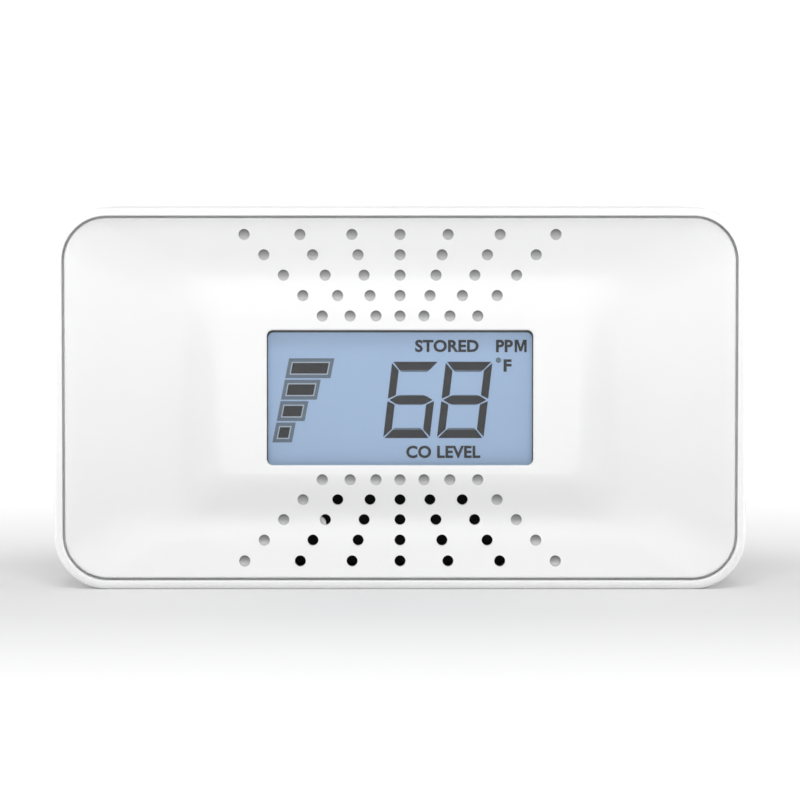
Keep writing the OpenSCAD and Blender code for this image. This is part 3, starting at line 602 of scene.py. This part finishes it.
# These faces get the painted shade.
shaded_hole_faces = net.add("GeometryNodeInputNamedAttribute", {"data_type": "BOOLEAN"}, {"Name": "cut"})[0]
cut = net.add("GeometryNodeMeshBoolean", {"operation": "DIFFERENCE", "solver": "MANIFOLD"},
              {"Mesh 1": solid, "Mesh 2": drills})["Mesh"]
front_panel = grow("front_panel_dish", net, cut, sizes, shaded_hole_faces)
print("faces in the holes:", sum(p.material_index for p in front_panel.data.polygons))
shade(front_panel.data)
PIN_RADIUS, PIN_X, PIN_Z = 1.5, -18.15, 14.35
pin = bar("pin", PIN_RADIUS, PANEL_Y + 4.6, PANEL_Y + 7.8, PIN_X, PIN_Z)
join(front_panel, [pin])
keep(front_panel, "detector", "panel_white", "front_panel")

# %% [markdown]
# ## The housing
# The housing is the white frame round the panel, with the side walls behind it. In section it is the same all
# the way round, so the section is drawn once, with its small moulded roundings, and swept round the outline.
# A bevelled box could do as well, but a section gives each edge its own radius. The hole for the test button
# is cut through the top wall afterwards.

# %% Housing
HALF_W, HALF_H, CORNER = high.x / MM, (high.z - low.z) / 2 / MM, 12.0
FRONT_Y, BACK_Y = low.y / MM, high.y / MM
SPLIT_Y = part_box("rear_cover")[1].y / MM - 13.0
SEAT_Y = PANEL_Y + 2.2
WALL, GROOVE = 2.2, 0.5
RIM = HALF_W - panel_high.x / MM - GROOVE
LEDGE_W = LEDGE_T = 1.5
LEDGE = RIM + LEDGE_W
SPLIT_EDGE, FRONT_EDGE, INNER_EDGE = 0.25, 1.2, 0.2
section = rounded_path([
    (0, SPLIT_Y, SPLIT_EDGE), (0, FRONT_Y, FRONT_EDGE), (RIM, FRONT_Y, INNER_EDGE), (RIM, SEAT_Y, 0),
    (LEDGE, SEAT_Y, 0), (LEDGE, SEAT_Y + LEDGE_T, 0), (WALL, SEAT_Y + LEDGE_T, 0), (WALL, SPLIT_Y, 0)])
housing = sweep("housing_shell", section, HALF_W, HALF_H, CORNER, (0, MID_Z))
BUTTON_Y = (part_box("test_button")[0].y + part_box("test_button")[1].y) / 2 / MM
upright = Matrix.Translation((0, BUTTON_Y * MM, high.z)) @ Matrix.Rotation(-math.pi / 2, 4, "X")
BUTTON_W, BUTTON_H, CLEARANCE = 15.0, 5.0, 0.3
button_hole = sweep("button_hole", [(0, -4), (0, 4)], BUTTON_W + CLEARANCE, BUTTON_H + CLEARANCE,
                    BUTTON_H + CLEARANCE, caps=True, steps=(1, 16, 10), matrix=upright)
boolean(housing, [button_hole])
keep(housing, "detector", "case_white", "housing")

# %% [markdown]
# ## The rear cover
# The back of the case is a tray with softly rounded edges. Its wall is one section again, this time closed by
# a flat cap inside and outside. Two keyholes hang the detector on screws, slots let air reach the gas sensor,
# and a recess takes the data label. Holes that are all alike come from one tree, which sets a cutter on each
# point of a row.

# %% Rear cover
COVER_INSIDE = BACK_Y - WALL
CAP_INSET, BACK_EDGE = 5.6, 5.0
tray = rounded_path([
    (CAP_INSET, COVER_INSIDE, 0), (WALL, COVER_INSIDE, 2.8), (WALL, SPLIT_Y, 0), (0, SPLIT_Y, SPLIT_EDGE),
    (0, BACK_Y, BACK_EDGE), (CAP_INSET, BACK_Y, 0)], 10)
cover = sweep("rear_cover_shell", tray, HALF_W, HALF_H, CORNER, (0, MID_Z), caps=True)
KEYHOLE_X, KEYHOLE_Z, KEYHOLE_RISE = 50.0, 56.0, 8.0
ENTRY_R, SLOT_W, SLOT_R = 4.5, 4.4, 2.19
cutters = []
for x in (-KEYHOLE_X, KEYHOLE_X):
    entry = bar("entry", ENTRY_R, COVER_INSIDE - 1, BACK_Y + 1, x, KEYHOLE_Z)
    slot_cut = tablet("slot", SLOT_W, KEYHOLE_RISE + SLOT_W, SLOT_R, COVER_INSIDE - 1, BACK_Y + 1, x,
                      KEYHOLE_Z + KEYHOLE_RISE / 2)
    boolean(entry, [slot_cut], "UNION")
    cutters.append(entry)
label_low, label_high = [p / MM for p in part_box("rating_label")]
label_mid = (label_low + label_high) / 2
RECESS = 0.25
cutters.append(tablet("label_recess", 56, 30, 2, BACK_Y - RECESS, BACK_Y + 1, label_mid.x, label_mid.z))
slider_low, slider_high = [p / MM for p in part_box("activation_slider")]
SLIDER_X, SLIDER_Z = (slider_low.x + slider_high.x) / 2, (slider_low.z + slider_high.z) / 2
POCKET_Y = BACK_Y - 1.4
HALF_TRAVEL = 2
pocket_x = SLIDER_X + HALF_TRAVEL
cutters.append(tablet("slider_pocket", 12.4, 7.4, 1.5, POCKET_Y, BACK_Y + 1, pocket_x, SLIDER_Z))
cutters.append(tablet("slider_slot", 7.8, 3.4, 0.6, COVER_INSIDE - 1, BACK_Y, pocket_x, SLIDER_Z))
SCREW_X, SCREW_DZ = 70.1, 35.35
cutters += [bar("counterbore", 2.9, COVER_INSIDE - 2, BACK_Y + 1, sx * SCREW_X, MID_Z + sz * SCREW_DZ)
            for sx in (-1, 1) for sz in (-1, 1)]
print(len(cutters), "cutters for the rear cover")

# %% Vent slots
vents = {"Width": 12.0, "Height": 1.6, "Pitch": 3.2, "Count": 7, "Material": FINISHES["case_white"]}
net, source = geometry_tree("vent slots", vents)
index = net.add("GeometryNodeInputIndex")[0]
sensor_low, sensor_high = [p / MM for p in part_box("sensor_can")]
sensor_mid = (sensor_low + sensor_high) / 2
row_z = sensor_mid.z + (index - (source["Count"] - 1) / 2) * source["Pitch"]
rows = net.add("GeometryNodePoints", None, {
    "Count": source["Count"], "Position": vector(net, sensor_mid.x * MM, BACK_Y * MM, row_z * MM)})[0]
ends = net.add("GeometryNodeMeshCylinder", None, {
    "Vertices": 24, "Radius": source["Height"] / 2 * MM, "Depth": 8 * MM})["Mesh"]
apart = (source["Width"] - source["Height"]) / 2 * MM
pair = [net.add("GeometryNodeTransform", None, {
    "Geometry": ends, "Translation": vector(net, apart * s, 0.0, 0.0)})[0] for s in (-1, 1)]
both_ends = net.add("GeometryNodeJoinGeometry", None, {0: pair})[0]
slot_shape = net.add("GeometryNodeConvexHull", None, {0: both_ends})[0]
slots = net.add("GeometryNodeInstanceOnPoints", None, {
    "Points": rows, "Instance": slot_shape, "Rotation": (math.pi / 2, 0, 0)})[0]
vent_cutter = grow("vent_cutter", net, slots, vents)
boolean(cover, cutters + [vent_cutter])
cover.data.materials.clear()

# %% Pockets behind the cover's holes
STEP_Y = 11
BOX_DEPTH, BOX_WALL = 4.8, 1.2
COLUMN_R = 3.9
pockets = []
for x in (-KEYHOLE_X, KEYHOLE_X):
    box_path = [(0, COVER_INSIDE + 0.2), (0, COVER_INSIDE - BOX_DEPTH), (-BOX_WALL, COVER_INSIDE - BOX_DEPTH),
                (-BOX_WALL, COVER_INSIDE + 0.2)]
    pockets.append(sweep("pocket", box_path, 5.4, 9.4, 1.0, (x, KEYHOLE_Z + KEYHOLE_RISE / 2), steps=(6, 4, 4)))
    pockets.append(tablet("pocket_floor", 12.2, 20.2, 1, COVER_INSIDE - 4.7, COVER_INSIDE - 3.6, x,
                          KEYHOLE_Z + KEYHOLE_RISE / 2))
for sx in (-1, 1):
    for sz in (-1, 1):
        column = [(0, SPLIT_Y), (0, COVER_INSIDE + 0.3), (1.0, COVER_INSIDE + 0.3), (1.0, STEP_Y),
                  (2.3, STEP_Y), (2.3, SPLIT_Y)]
        place = (sx * SCREW_X, MID_Z + sz * SCREW_DZ)
        pockets.append(sweep("column", column, COLUMN_R, COLUMN_R, COLUMN_R, place, steps=(1, 10, 1)))
join(cover, pockets)
keep(cover, "detector", "case_white", "rear_cover")

# %% [markdown]
# ## Screws
# Four pan-head screws sit deep in the rear cover's corners. One screw is built in nodes, a turned head with a
# cross cut out of it, and set on four points. Four copies made by hand would look the same, but here a change
# to one screw changes them all.

# %% Housing screws
HEAD_HEIGHT = 2.0
HEAD_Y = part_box("housing_screws")[1].y / MM - HEAD_HEIGHT
screws = {"Head Radius": 2.6, "Head Height": HEAD_HEIGHT, "Shank Radius": 1.2, "Shank Length": 14.0,
          "Material": FINISHES["screw_steel"]}
net, source = geometry_tree("cross head screws", screws)
tall, wide = source["Head Height"] * MM, source["Head Radius"] * MM
lower = net.add("GeometryNodeMeshCylinder", None, {"Vertices": 32, "Radius": wide, "Depth": tall * 0.5})["Mesh"]
lower = net.add("GeometryNodeTransform", None, {
    "Geometry": lower, "Translation": vector(net, 0.0, 0.0, tall * 0.25)})[0]
crown = net.add("GeometryNodeMeshUVSphere", None, {"Segments": 32, "Rings": 16, "Radius": wide})["Mesh"]
CROWN_FLATNESS = 0.385
crown = net.add("GeometryNodeTransform", None, {"Geometry": crown, "Scale": (1, 1, CROWN_FLATNESS),
                                                "Translation": vector(net, 0.0, 0.0, tall * 0.48)})[0]
shank = net.add("GeometryNodeMeshCylinder", None, {"Vertices": 20, "Radius": source["Shank Radius"] * MM,
                                                   "Depth": source["Shank Length"] * MM})["Mesh"]
shank = net.add("GeometryNodeTransform", None, {"Geometry": shank, "Translation": vector(
    net, 0.0, 0.0, source["Shank Length"] * (-MM / 2) + 0.1 * MM)})[0]
BLADE_W, BLADE_T, BLADE_D = 3.1 * MM, 0.65 * MM, 2 * MM
blades = [net.add("GeometryNodeTransform", None, {
    "Geometry": net.add("GeometryNodeMeshCube", None, {"Size": size})["Mesh"],
    "Translation": vector(net, 0.0, 0.0, tall)})[0]
    for size in ((BLADE_W, BLADE_T, BLADE_D), (BLADE_T, BLADE_W, BLADE_D))]
head = net.add("GeometryNodeMeshBoolean", {"operation": "UNION", "solver": "MANIFOLD"},
               {"Mesh 2": [lower, crown, shank]})["Mesh"]
head = net.add("GeometryNodeMeshBoolean", {"operation": "DIFFERENCE", "solver": "MANIFOLD"},
               {"Mesh 1": head, "Mesh 2": blades})["Mesh"]
index = net.add("GeometryNodeInputIndex")[0]
across, up = index.op("MODULO", 2.0) * 2 - 1, (index > 1.5) * 2 - 1
corners = net.add("GeometryNodePoints", None, {"Count": 4, "Position": vector(
    net, across * (SCREW_X * MM), HEAD_Y * MM, (up * SCREW_DZ + MID_Z) * MM)})[0]
turn = vector(net, -math.pi / 2, index * 0.7, 0.0)
placed = net.add("GeometryNodeInstanceOnPoints", None, {
    "Points": corners, "Instance": head, "Rotation": turn})[0]
housing_screws = grow("cover_screws", net, placed, screws)
shade(housing_screws.data)
keep(housing_screws, "detector", "screw_steel", "housing_screws")

# %% [markdown]
# ## The test button
# A wide button in the top wall is pressed to test the alarm. Its top is dished by a quarter of a millimetre
# so that a finger finds it, its edge is rounded, and a hidden flange keeps it in the case. A section with all
# of these is swept round the oval, as for the housing, because one line then holds the whole shape.


# %% Button and its stem
def block(name, x0, x1, y0, y1, z0, z1, edge=0.15):
    """A block between two corners, in mm, with bevelled edges."""
    bm = bmesh.new()
    bmesh.ops.create_cube(bm, size=1)
    size = Matrix.Diagonal(((x1 - x0) * MM, (y1 - y0) * MM, (z1 - z0) * MM, 1))
    bm.transform(Matrix.Translation(((x0 + x1) / 2 * MM, (y0 + y1) / 2 * MM, (z0 + z1) / 2 * MM)) @ size)
    bmesh.ops.bevel(bm, geom=bm.edges[:], offset=edge * MM, segments=2, affect="EDGES", profile=0.5)
    return mesh_object(name, bm)


cap_path = rounded_path([
    (4.9, 0.47, 0), (3.6, 0.44, 0), (2.4, 0.36, 0), (1.4, 0.25, 0), (0, 0.2, 0.5), (0, 2.35, 0), (-2, 2.35, 0),
    (-2, 3.55, 0), (2, 3.55, 0)], 5)
button = sweep("test_button_cap", cap_path, BUTTON_W, BUTTON_H, BUTTON_H, caps=True, steps=(1, 20, 14),
               matrix=upright)
button_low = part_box("test_button")[0] / MM
stem = block("stem", -2, 2, -6.4, -3.2, button_low.z, high.z / MM - 3.5)
join(button, [stem])
keep(button, "test_button", "panel_white", "test_button")

# %% [markdown]
# ## The activation slider
# The sealed battery is connected once, with a small red slider in a pocket on the back. Its three grooves
# give a fingernail grip, and a stem behind it moves the lever of a switch on the board. It is put together
# from bevelled blocks, which is the simplest way for a small part with flat sides, and the grooves are cut
# out.

# %% Slider
knob = tablet("activation_knob", 5.0, 5.4, 0.8, POCKET_Y + 0.1, BACK_Y - 0.15, SLIDER_X, SLIDER_Z, 0.3)
FORK_Y = slider_low.y


def slab(name, x0, x1, y0, y1, half_h=1.4, edge=0.15):
    """A block that is centred on the slider's height, with x counted from the slider's middle."""
    return block(name, SLIDER_X + x0, SLIDER_X + x1, y0, y1, SLIDER_Z - half_h, SLIDER_Z + half_h, edge)


boolean(knob, [slab("groove", d - 0.28, d + 0.28, BACK_Y - 0.65, BACK_Y + 1, 2, 0.05) for d in (-1.2, 0, 1.2)])
join(knob, [slab("stem", -1.5, 1.5, FORK_Y + 4, POCKET_Y + 0.2),
            slab("washer", -3.5, 3.5, POCKET_Y - 3.5, POCKET_Y - 2.35, 3),
            slab("tine_a", 1.05, 2.5, FORK_Y, FORK_Y + 4.3),
            slab("tine_b", -2.5, -1.05, FORK_Y, FORK_Y + 4.3),
            slab("bridge", -2.5, 2.5, FORK_Y + 4, FORK_Y + 5)])
keep(knob, "activation_slider", "slider_red", "activation_slider")

# %% [markdown]
# ## The display
# A liquid crystal display shows dark figures on an evenly lit field. Its window is one clear moulding: a pad
# that fills the opening and a flange behind. A low alpha suits it better than refracting glass, because the
# exported model keeps alpha. The field glows by itself, so it gets a little emission.

# %% Window and lit field
window_low, window_high = [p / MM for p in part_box("display_window")]
FIELD = (0.275, 0.385, 0.55)
FIELD_GLOW = 0.25
FLANGE_Y = window_high.y - 1.0
pane = rounded_path([(4.0, window_low.y, 0), (1.8, window_low.y, 0.2), (1.8, FLANGE_Y, 0), (0, FLANGE_Y, 0),
                     (0, window_high.y, 0)], 4)
WINDOW_W, WINDOW_H = 31.5, 16.75
window = sweep("display_window_pane", pane, WINDOW_W, WINDOW_H, 3.0, (0, MID_Z), caps=True)
keep(window, "detector", "window_clear", "display_window")
field_low, field_high = [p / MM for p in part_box("lcd_front_polarizer")]
field = tablet("display_field", field_high.x * 2, field_high.z - field_low.z, 0.3, field_low.y, field_high.y,
               0, MID_Z)
lit = finish("display_lit", FIELD, 0.35, 1800.0, 0.001, 0.02, 0.985)
net = Net(lit.node_tree)
place = net.add("ShaderNodeTexCoord")["Object"]
glow = colour_mix(net, noise(net, place, 45.0).share(0.35, 0.65), [c * 0.97 for c in FIELD],
                   [c * 1.03 for c in FIELD])
shader = lit.node_tree.nodes["Principled BSDF"]
lit.node_tree.links.new(glow.out, shader.inputs["Emission Color"])
shader.inputs["Emission Strength"].default_value = FIELD_GLOW
field.data.materials.append(lit)
keep(field, "detector", "film_grey", "lcd_front_polarizer")

# %% [markdown]
# ## The figures
# The figures are thin dark films just in front of the lit field. Seven-segment digits lean a little to the
# right and follow a rule: every segment is a bar with mitred ends and a hairline gap to its neighbours. The
# bar graph at the left is four leaning bars, each inside a paler frame. Unit signs and two plain words are
# set as type. A picture of the display would be quicker, but shapes stay sharp from any distance.


# %% Flat films
INK_Y = field_low.y - 0.02
FILM, LAYER = 0.012, 0.015
LEAN = 0.118


def thicken(bm, faces):
    """Gives flat faces the thickness of a film, toward the back."""
    made = bmesh.ops.extrude_face_region(bm, geom=faces)["geom"]
    moved = [v for v in made if isinstance(v, bmesh.types.BMVert)]
    bmesh.ops.translate(bm, verts=moved, vec=(0, FILM * MM, 0))


def film(name, shapes, layer, material):
    """Flat polygons in mm from the display's middle, as thin films. A higher layer lies further forward."""
    bm = bmesh.new()
    y = INK_Y - layer * LAYER
    for shape in shapes:
        front = [bm.verts.new((x * MM, y * MM, (MID_Z + z) * MM)) for x, z in shape]
        thicken(bm, [bm.faces.new(front)])
    keep(mesh_object(name, bm, material), "detector", "film_grey")


def segments(w, h, t, gap, lit_ones):
    """The bars of one upright seven-segment digit, w wide and h high, with strokes t thick."""
    m, g = h / 2, gap / 2
    shapes = {
        "a": [(2 * g, h), (w - 2 * g, h), (w - t, h - t), (t, h - t)],
        "d": [(2 * g, 0), (w - 2 * g, 0), (w - t, t), (t, t)],
        "g": [(3 * g, m), (t + g, m + t / 2), (w - t - g, m + t / 2), (w - 3 * g, m), (w - t - g, m - t / 2),
              (t + g, m - t / 2)],
        "f": [(0, h - 2 * g), (t - g, h - t - g), (t - g, m + t / 2 + g), (0, m + 2 * g)],
        "e": [(0, 2 * g), (t - g, t + g), (t - g, m - t / 2 - g), (0, m - 2 * g)],
        "b": [(w, h - 2 * g), (w - t + g, h - t - g), (w - t + g, m + t / 2 + g), (w, m + 2 * g)],
        "c": [(w, 2 * g), (w - t + g, t + g), (w - t + g, m - t / 2 - g), (w, m - 2 * g)]
    }
    return [shapes[k] for k in lit_ones]


def leaning(shapes, x0, z0, lean=LEAN):
    return [[(x0 + x + z * lean, z0 + z) for x, z in shape] for shape in shapes]


ink = finish("display_ink", (0.03, 0.03, 0.032), 0.6, 1800.0, 0.001, 0.02, 0.95)
ghost = finish("display_ghost", (0.12, 0.165, 0.22), 0.5, 1800.0, 0.001, 0.02, 0.97)
pale = finish("display_pale", (0.40, 0.47, 0.55), 0.5, 1800.0, 0.001, 0.02, 0.98)
print("films ready")

# %% Digits
DIGIT_W, DIGIT_H, STROKE, HAIRLINE = 10.5, 17.2, 1.85, 0.26
DIGIT_FOOT, ECHO_EXTRA = -9.25, 0.45
DIGITS = [(-3.8, "acdefg"), (8.3, "abcdefg")]
digit_shapes, echo_shapes = [], []
for x0, lit_ones in DIGITS:
    digit_shapes += leaning(segments(DIGIT_W, DIGIT_H, STROKE, HAIRLINE, lit_ones), x0, DIGIT_FOOT)
    level_ones = [k for k in lit_ones if k in "adg"]
    echo = segments(DIGIT_W, DIGIT_H, STROKE + ECHO_EXTRA, HAIRLINE * 2, level_ones)
    echo_shapes += leaning(echo, x0, DIGIT_FOOT)
film("display_digits", digit_shapes, 2, ink)
film("display_digit_echo", echo_shapes, 0, ghost)

# %% Bar graph
BAR_H, BAR_PITCH, BAR_LEAN = 4.5, 4.83, 0.2
BARS_X, BARS_Z = -28.75, -10.25
RIM_INSET, CORE_INSET = 0.8, 1.05
frames, rims, cores = [], [], []
for i, width in enumerate((4.4, 6.3, 8.1, 10.2)):
    z0 = BARS_Z + BAR_PITCH * i
    x0 = BARS_X + (z0 - BARS_Z) * BAR_LEAN
    for into, shapes in ((0.0, frames), (RIM_INSET, rims), (CORE_INSET, cores)):
        right, top = width - into, BAR_H - into
        shapes += leaning([[(into, into), (right, into), (right, top), (into, top)]], x0, z0, BAR_LEAN)
film("display_bar_frames", frames, 0, ghost)
film("display_bar_rims", rims, 1, pale)
film("display_bar_cores", cores, 2, ink)


# %% Type
def lettering(name, words, x0, x1, z0, z1, bold=0.036):
    """Plain type fitted to a box in mm from the display's middle, with its outline grown by bold."""
    curve = bpy.data.curves.new(name, "FONT")
    curve.body, curve.resolution_u, curve.offset, curve.space_character = words, 4, bold, 1 + bold
    text = bpy.data.objects.new(name, curve)
    bpy.context.scene.collection.objects.link(text)
    mesh = evaluated(text)
    bpy.data.objects.remove(text)
    points = [v.co for v in mesh.vertices]
    left, right = min(p.x for p in points), max(p.x for p in points)
    foot, top = min(p.y for p in points), max(p.y for p in points)
    for v in mesh.vertices:
        x = x0 + (v.co.x - left) / (right - left) * (x1 - x0)
        z = z0 + (v.co.y - foot) / (top - foot) * (z1 - z0)
        v.co = (x * MM, (INK_Y - 2 * LAYER) * MM, (MID_Z + z) * MM)
    bm = bmesh.new()
    bm.from_mesh(mesh)
    bmesh.ops.remove_doubles(bm, verts=bm.verts, dist=1e-7)
    thicken(bm, bm.faces[:])
    keep(mesh_object(name, bm, ink), "detector", "film_grey")


lettering("display_word_upper", "STORED", 3.4, 17.7, 10.1, 12.9)
lettering("display_word_lower", "CO LEVEL", 1.4, 18.1, -13.8, -10.95)
lettering("display_unit", "PP", 21.6, 25.4, 10.1, 12.9)
unit_m = [(0, 0), (0, 2.8), (0.8, 2.8), (1.35, 1.1), (1.9, 2.8), (2.7, 2.8), (2.7, 0), (2.15, 0), (2.15, 1.9),
          (1.6, 0.2), (1.1, 0.2), (0.55, 1.9), (0.55, 0)]
film("display_unit_m", leaning([unit_m], 25.8, 10.1, 0), 2, ink)
lettering("display_degree_letter", "F", 23.3, 25.1, 5.7, 8.5)
DOT_X, DOT_Z, DOT_R = 22.15, 8.3, 0.62
dot = [(DOT_X + DOT_R * math.cos(a * math.pi / 8), DOT_Z + DOT_R * math.sin(a * math.pi / 8))
       for a in range(16)]
film("display_degree_ring", [dot], 2, ghost)

# %% [markdown]
# ## The painted shadow at the top of the display
# A dark flat ring round the lit field is painted shadow. It is set a little low, so that it shows as a thin
# dark line along the top of the window, where the top of the opening shades the display. A flat ring is enough
# for it, so a small closed section is swept round the opening.

# %% Painted shadow along the top of the display
SHADOW_RING_W, SHADOW_RING_T = 1.3, 0.05
shadow_ring_y = INK_Y - SHADOW_RING_T
shadow_ring_section = [(0, shadow_ring_y), (0, shadow_ring_y - SHADOW_RING_T), (SHADOW_RING_W, shadow_ring_y - SHADOW_RING_T), (SHADOW_RING_W, shadow_ring_y)]
# Painted shadow: a dark ring set 0.45 mm low, so that it shows as a line along the top of the window.
top_shadow_ring = sweep("display_painted_shadow", shadow_ring_section, 31.0, 16.3, 2.6, (0, MID_Z - 0.45),
             material=finish("painted_shadow_grey", (0.09, 0.09, 0.085), 0.6, 1800.0, 0.001, 0.02, 0.95))
keep(top_shadow_ring, "detector", "film_grey")

# %% [markdown]
# ## The stage
# The detector stands on a pale floor with painted shadow and painted light: its colour is darker close to the
# case, and it glows more with distance until it meets the white backdrop. A narrow box straight ahead and a key
# light high in front show the relief of the face, and a strip on each side keeps the rim bright. White plastic
# needs dark as well as light to have a shape, so the surround that lights the case is dim ahead and overhead
# and bright at the sides, while the camera sees plain white.

# %% Floor and lights
AHEAD, ASIDE, BEHIND = 0.14, 0.72, 0.75
OVERHEAD_DIMMING = 0.45
NEAR_SHADOW_PAINT, FAR_PAINT, FLOOR_GLOW = 0.72, 0.90, 0.65
FOOT_HALF_W = 0.07
floor_mesh = bpy.data.meshes.new("floor")
HALF_SPAN = 8.0
corners = [(sx * HALF_SPAN, sy * HALF_SPAN, 0) for sx, sy in ((-1, -1), (1, -1), (1, 1), (-1, 1))]
floor_mesh.from_pydata(corners, [], [(0, 1, 2, 3)])
floor = bpy.data.objects.new("floor", floor_mesh)
bpy.context.scene.collection.objects.link(floor)
floor_painted_shadow_and_glow = bpy.data.materials.new("floor_painted_shadow_and_glow")
floor_painted_shadow_and_glow.use_nodes = True
net = Net(floor_painted_shadow_and_glow.node_tree)
x, y, z = parts(net, net.add("ShaderNodeTexCoord")["Object"])
# The floor is painted darker near the case's foot, as painted shadow, and glows more with distance, as painted
# light. Distances behind the case count half again, so the painted shadow there is lighter and shorter.
aside = (x.op("ABSOLUTE") - FOOT_HALF_W).op("MAXIMUM", 0.0)
away = y * (1 + (y > 0) * 0.5)
reach = (aside * aside + away * away) ** 0.5
shader = floor_painted_shadow_and_glow.node_tree.nodes["Principled BSDF"]
# Painted shadow: the floor colour is darker close to the case.
painted_contact_shadow = colour_mix(net, reach.share(0.0, 0.28) ** 0.5, [NEAR_SHADOW_PAINT] * 3, [FAR_PAINT] * 3)
# Painted light: the floor glows more with distance.
glow = colour_mix(net, reach.share(0.07, 0.75), (0, 0, 0), (1, 1, 1))
net.tree.links.new(painted_contact_shadow.out, shader.inputs["Base Color"])
net.tree.links.new(glow.out, shader.inputs["Emission Color"])
shader.inputs["Roughness"].default_value = 0.8
shader.inputs["Emission Strength"].default_value = FLOOR_GLOW
floor_mesh.materials.append(floor_painted_shadow_and_glow)
floor.visible_glossy = False


def softbox(name, place, aim_at, width, height, radiance):
    """A rectangular light given by its radiance, so that its size can change without dimming it."""
    light = bpy.data.objects.new(name, bpy.data.lights.new(name, "AREA"))
    light.data.shape, light.data.size, light.data.size_y = "RECTANGLE", width, height
    light.data.energy = radiance * math.pi * width * height
    light.location = place
    light.rotation_euler = (Vector(aim_at) - Vector(place)).to_track_quat("-Z", "Y").to_euler()
    light.visible_camera = False
    bpy.context.scene.collection.objects.link(light)


softbox("front", (0, -1.2, 0.35), (0, 0, 0.35), 0.72, 0.66, 2.2)
softbox("key", (0, -0.75, 1.0), (0, 0, 0.04), 0.6, 0.45, 6.2)
for sx in (-1, 1):
    softbox("side", (sx * 0.9, -0.12, 0.25), (0, 0, 0.04), 0.3, 0.7, 4.4)
world = bpy.data.worlds.new("studio")
bpy.context.scene.world = world
world.use_nodes = True
sky = Net(world.node_tree)
camera_ray = sky.add("ShaderNodeLightPath")["Is Camera Ray"]
_, heading, climb = parts(sky, sky.add("ShaderNodeTexCoord")["Generated"])
level = AHEAD + (ASIDE - AHEAD) * heading.share(-0.75, -0.15) + (BEHIND - ASIDE) * heading.share(0.0, 0.6)
around = level * (1 - OVERHEAD_DIMMING * climb.share(0.6, 0.95))
surround = sky.add("ShaderNodeMix", {"data_type": "FLOAT"}, {0: camera_ray, 2: around, 3: 1.05})[0]
world.node_tree.links.new(surround.out, world.node_tree.nodes["Background"].inputs["Strength"])
world.node_tree.nodes["Background"].inputs["Color"].default_value = (1, 1, 1, 1)
bpy.context.scene.view_settings.view_transform = "Standard"
print("stage ready")
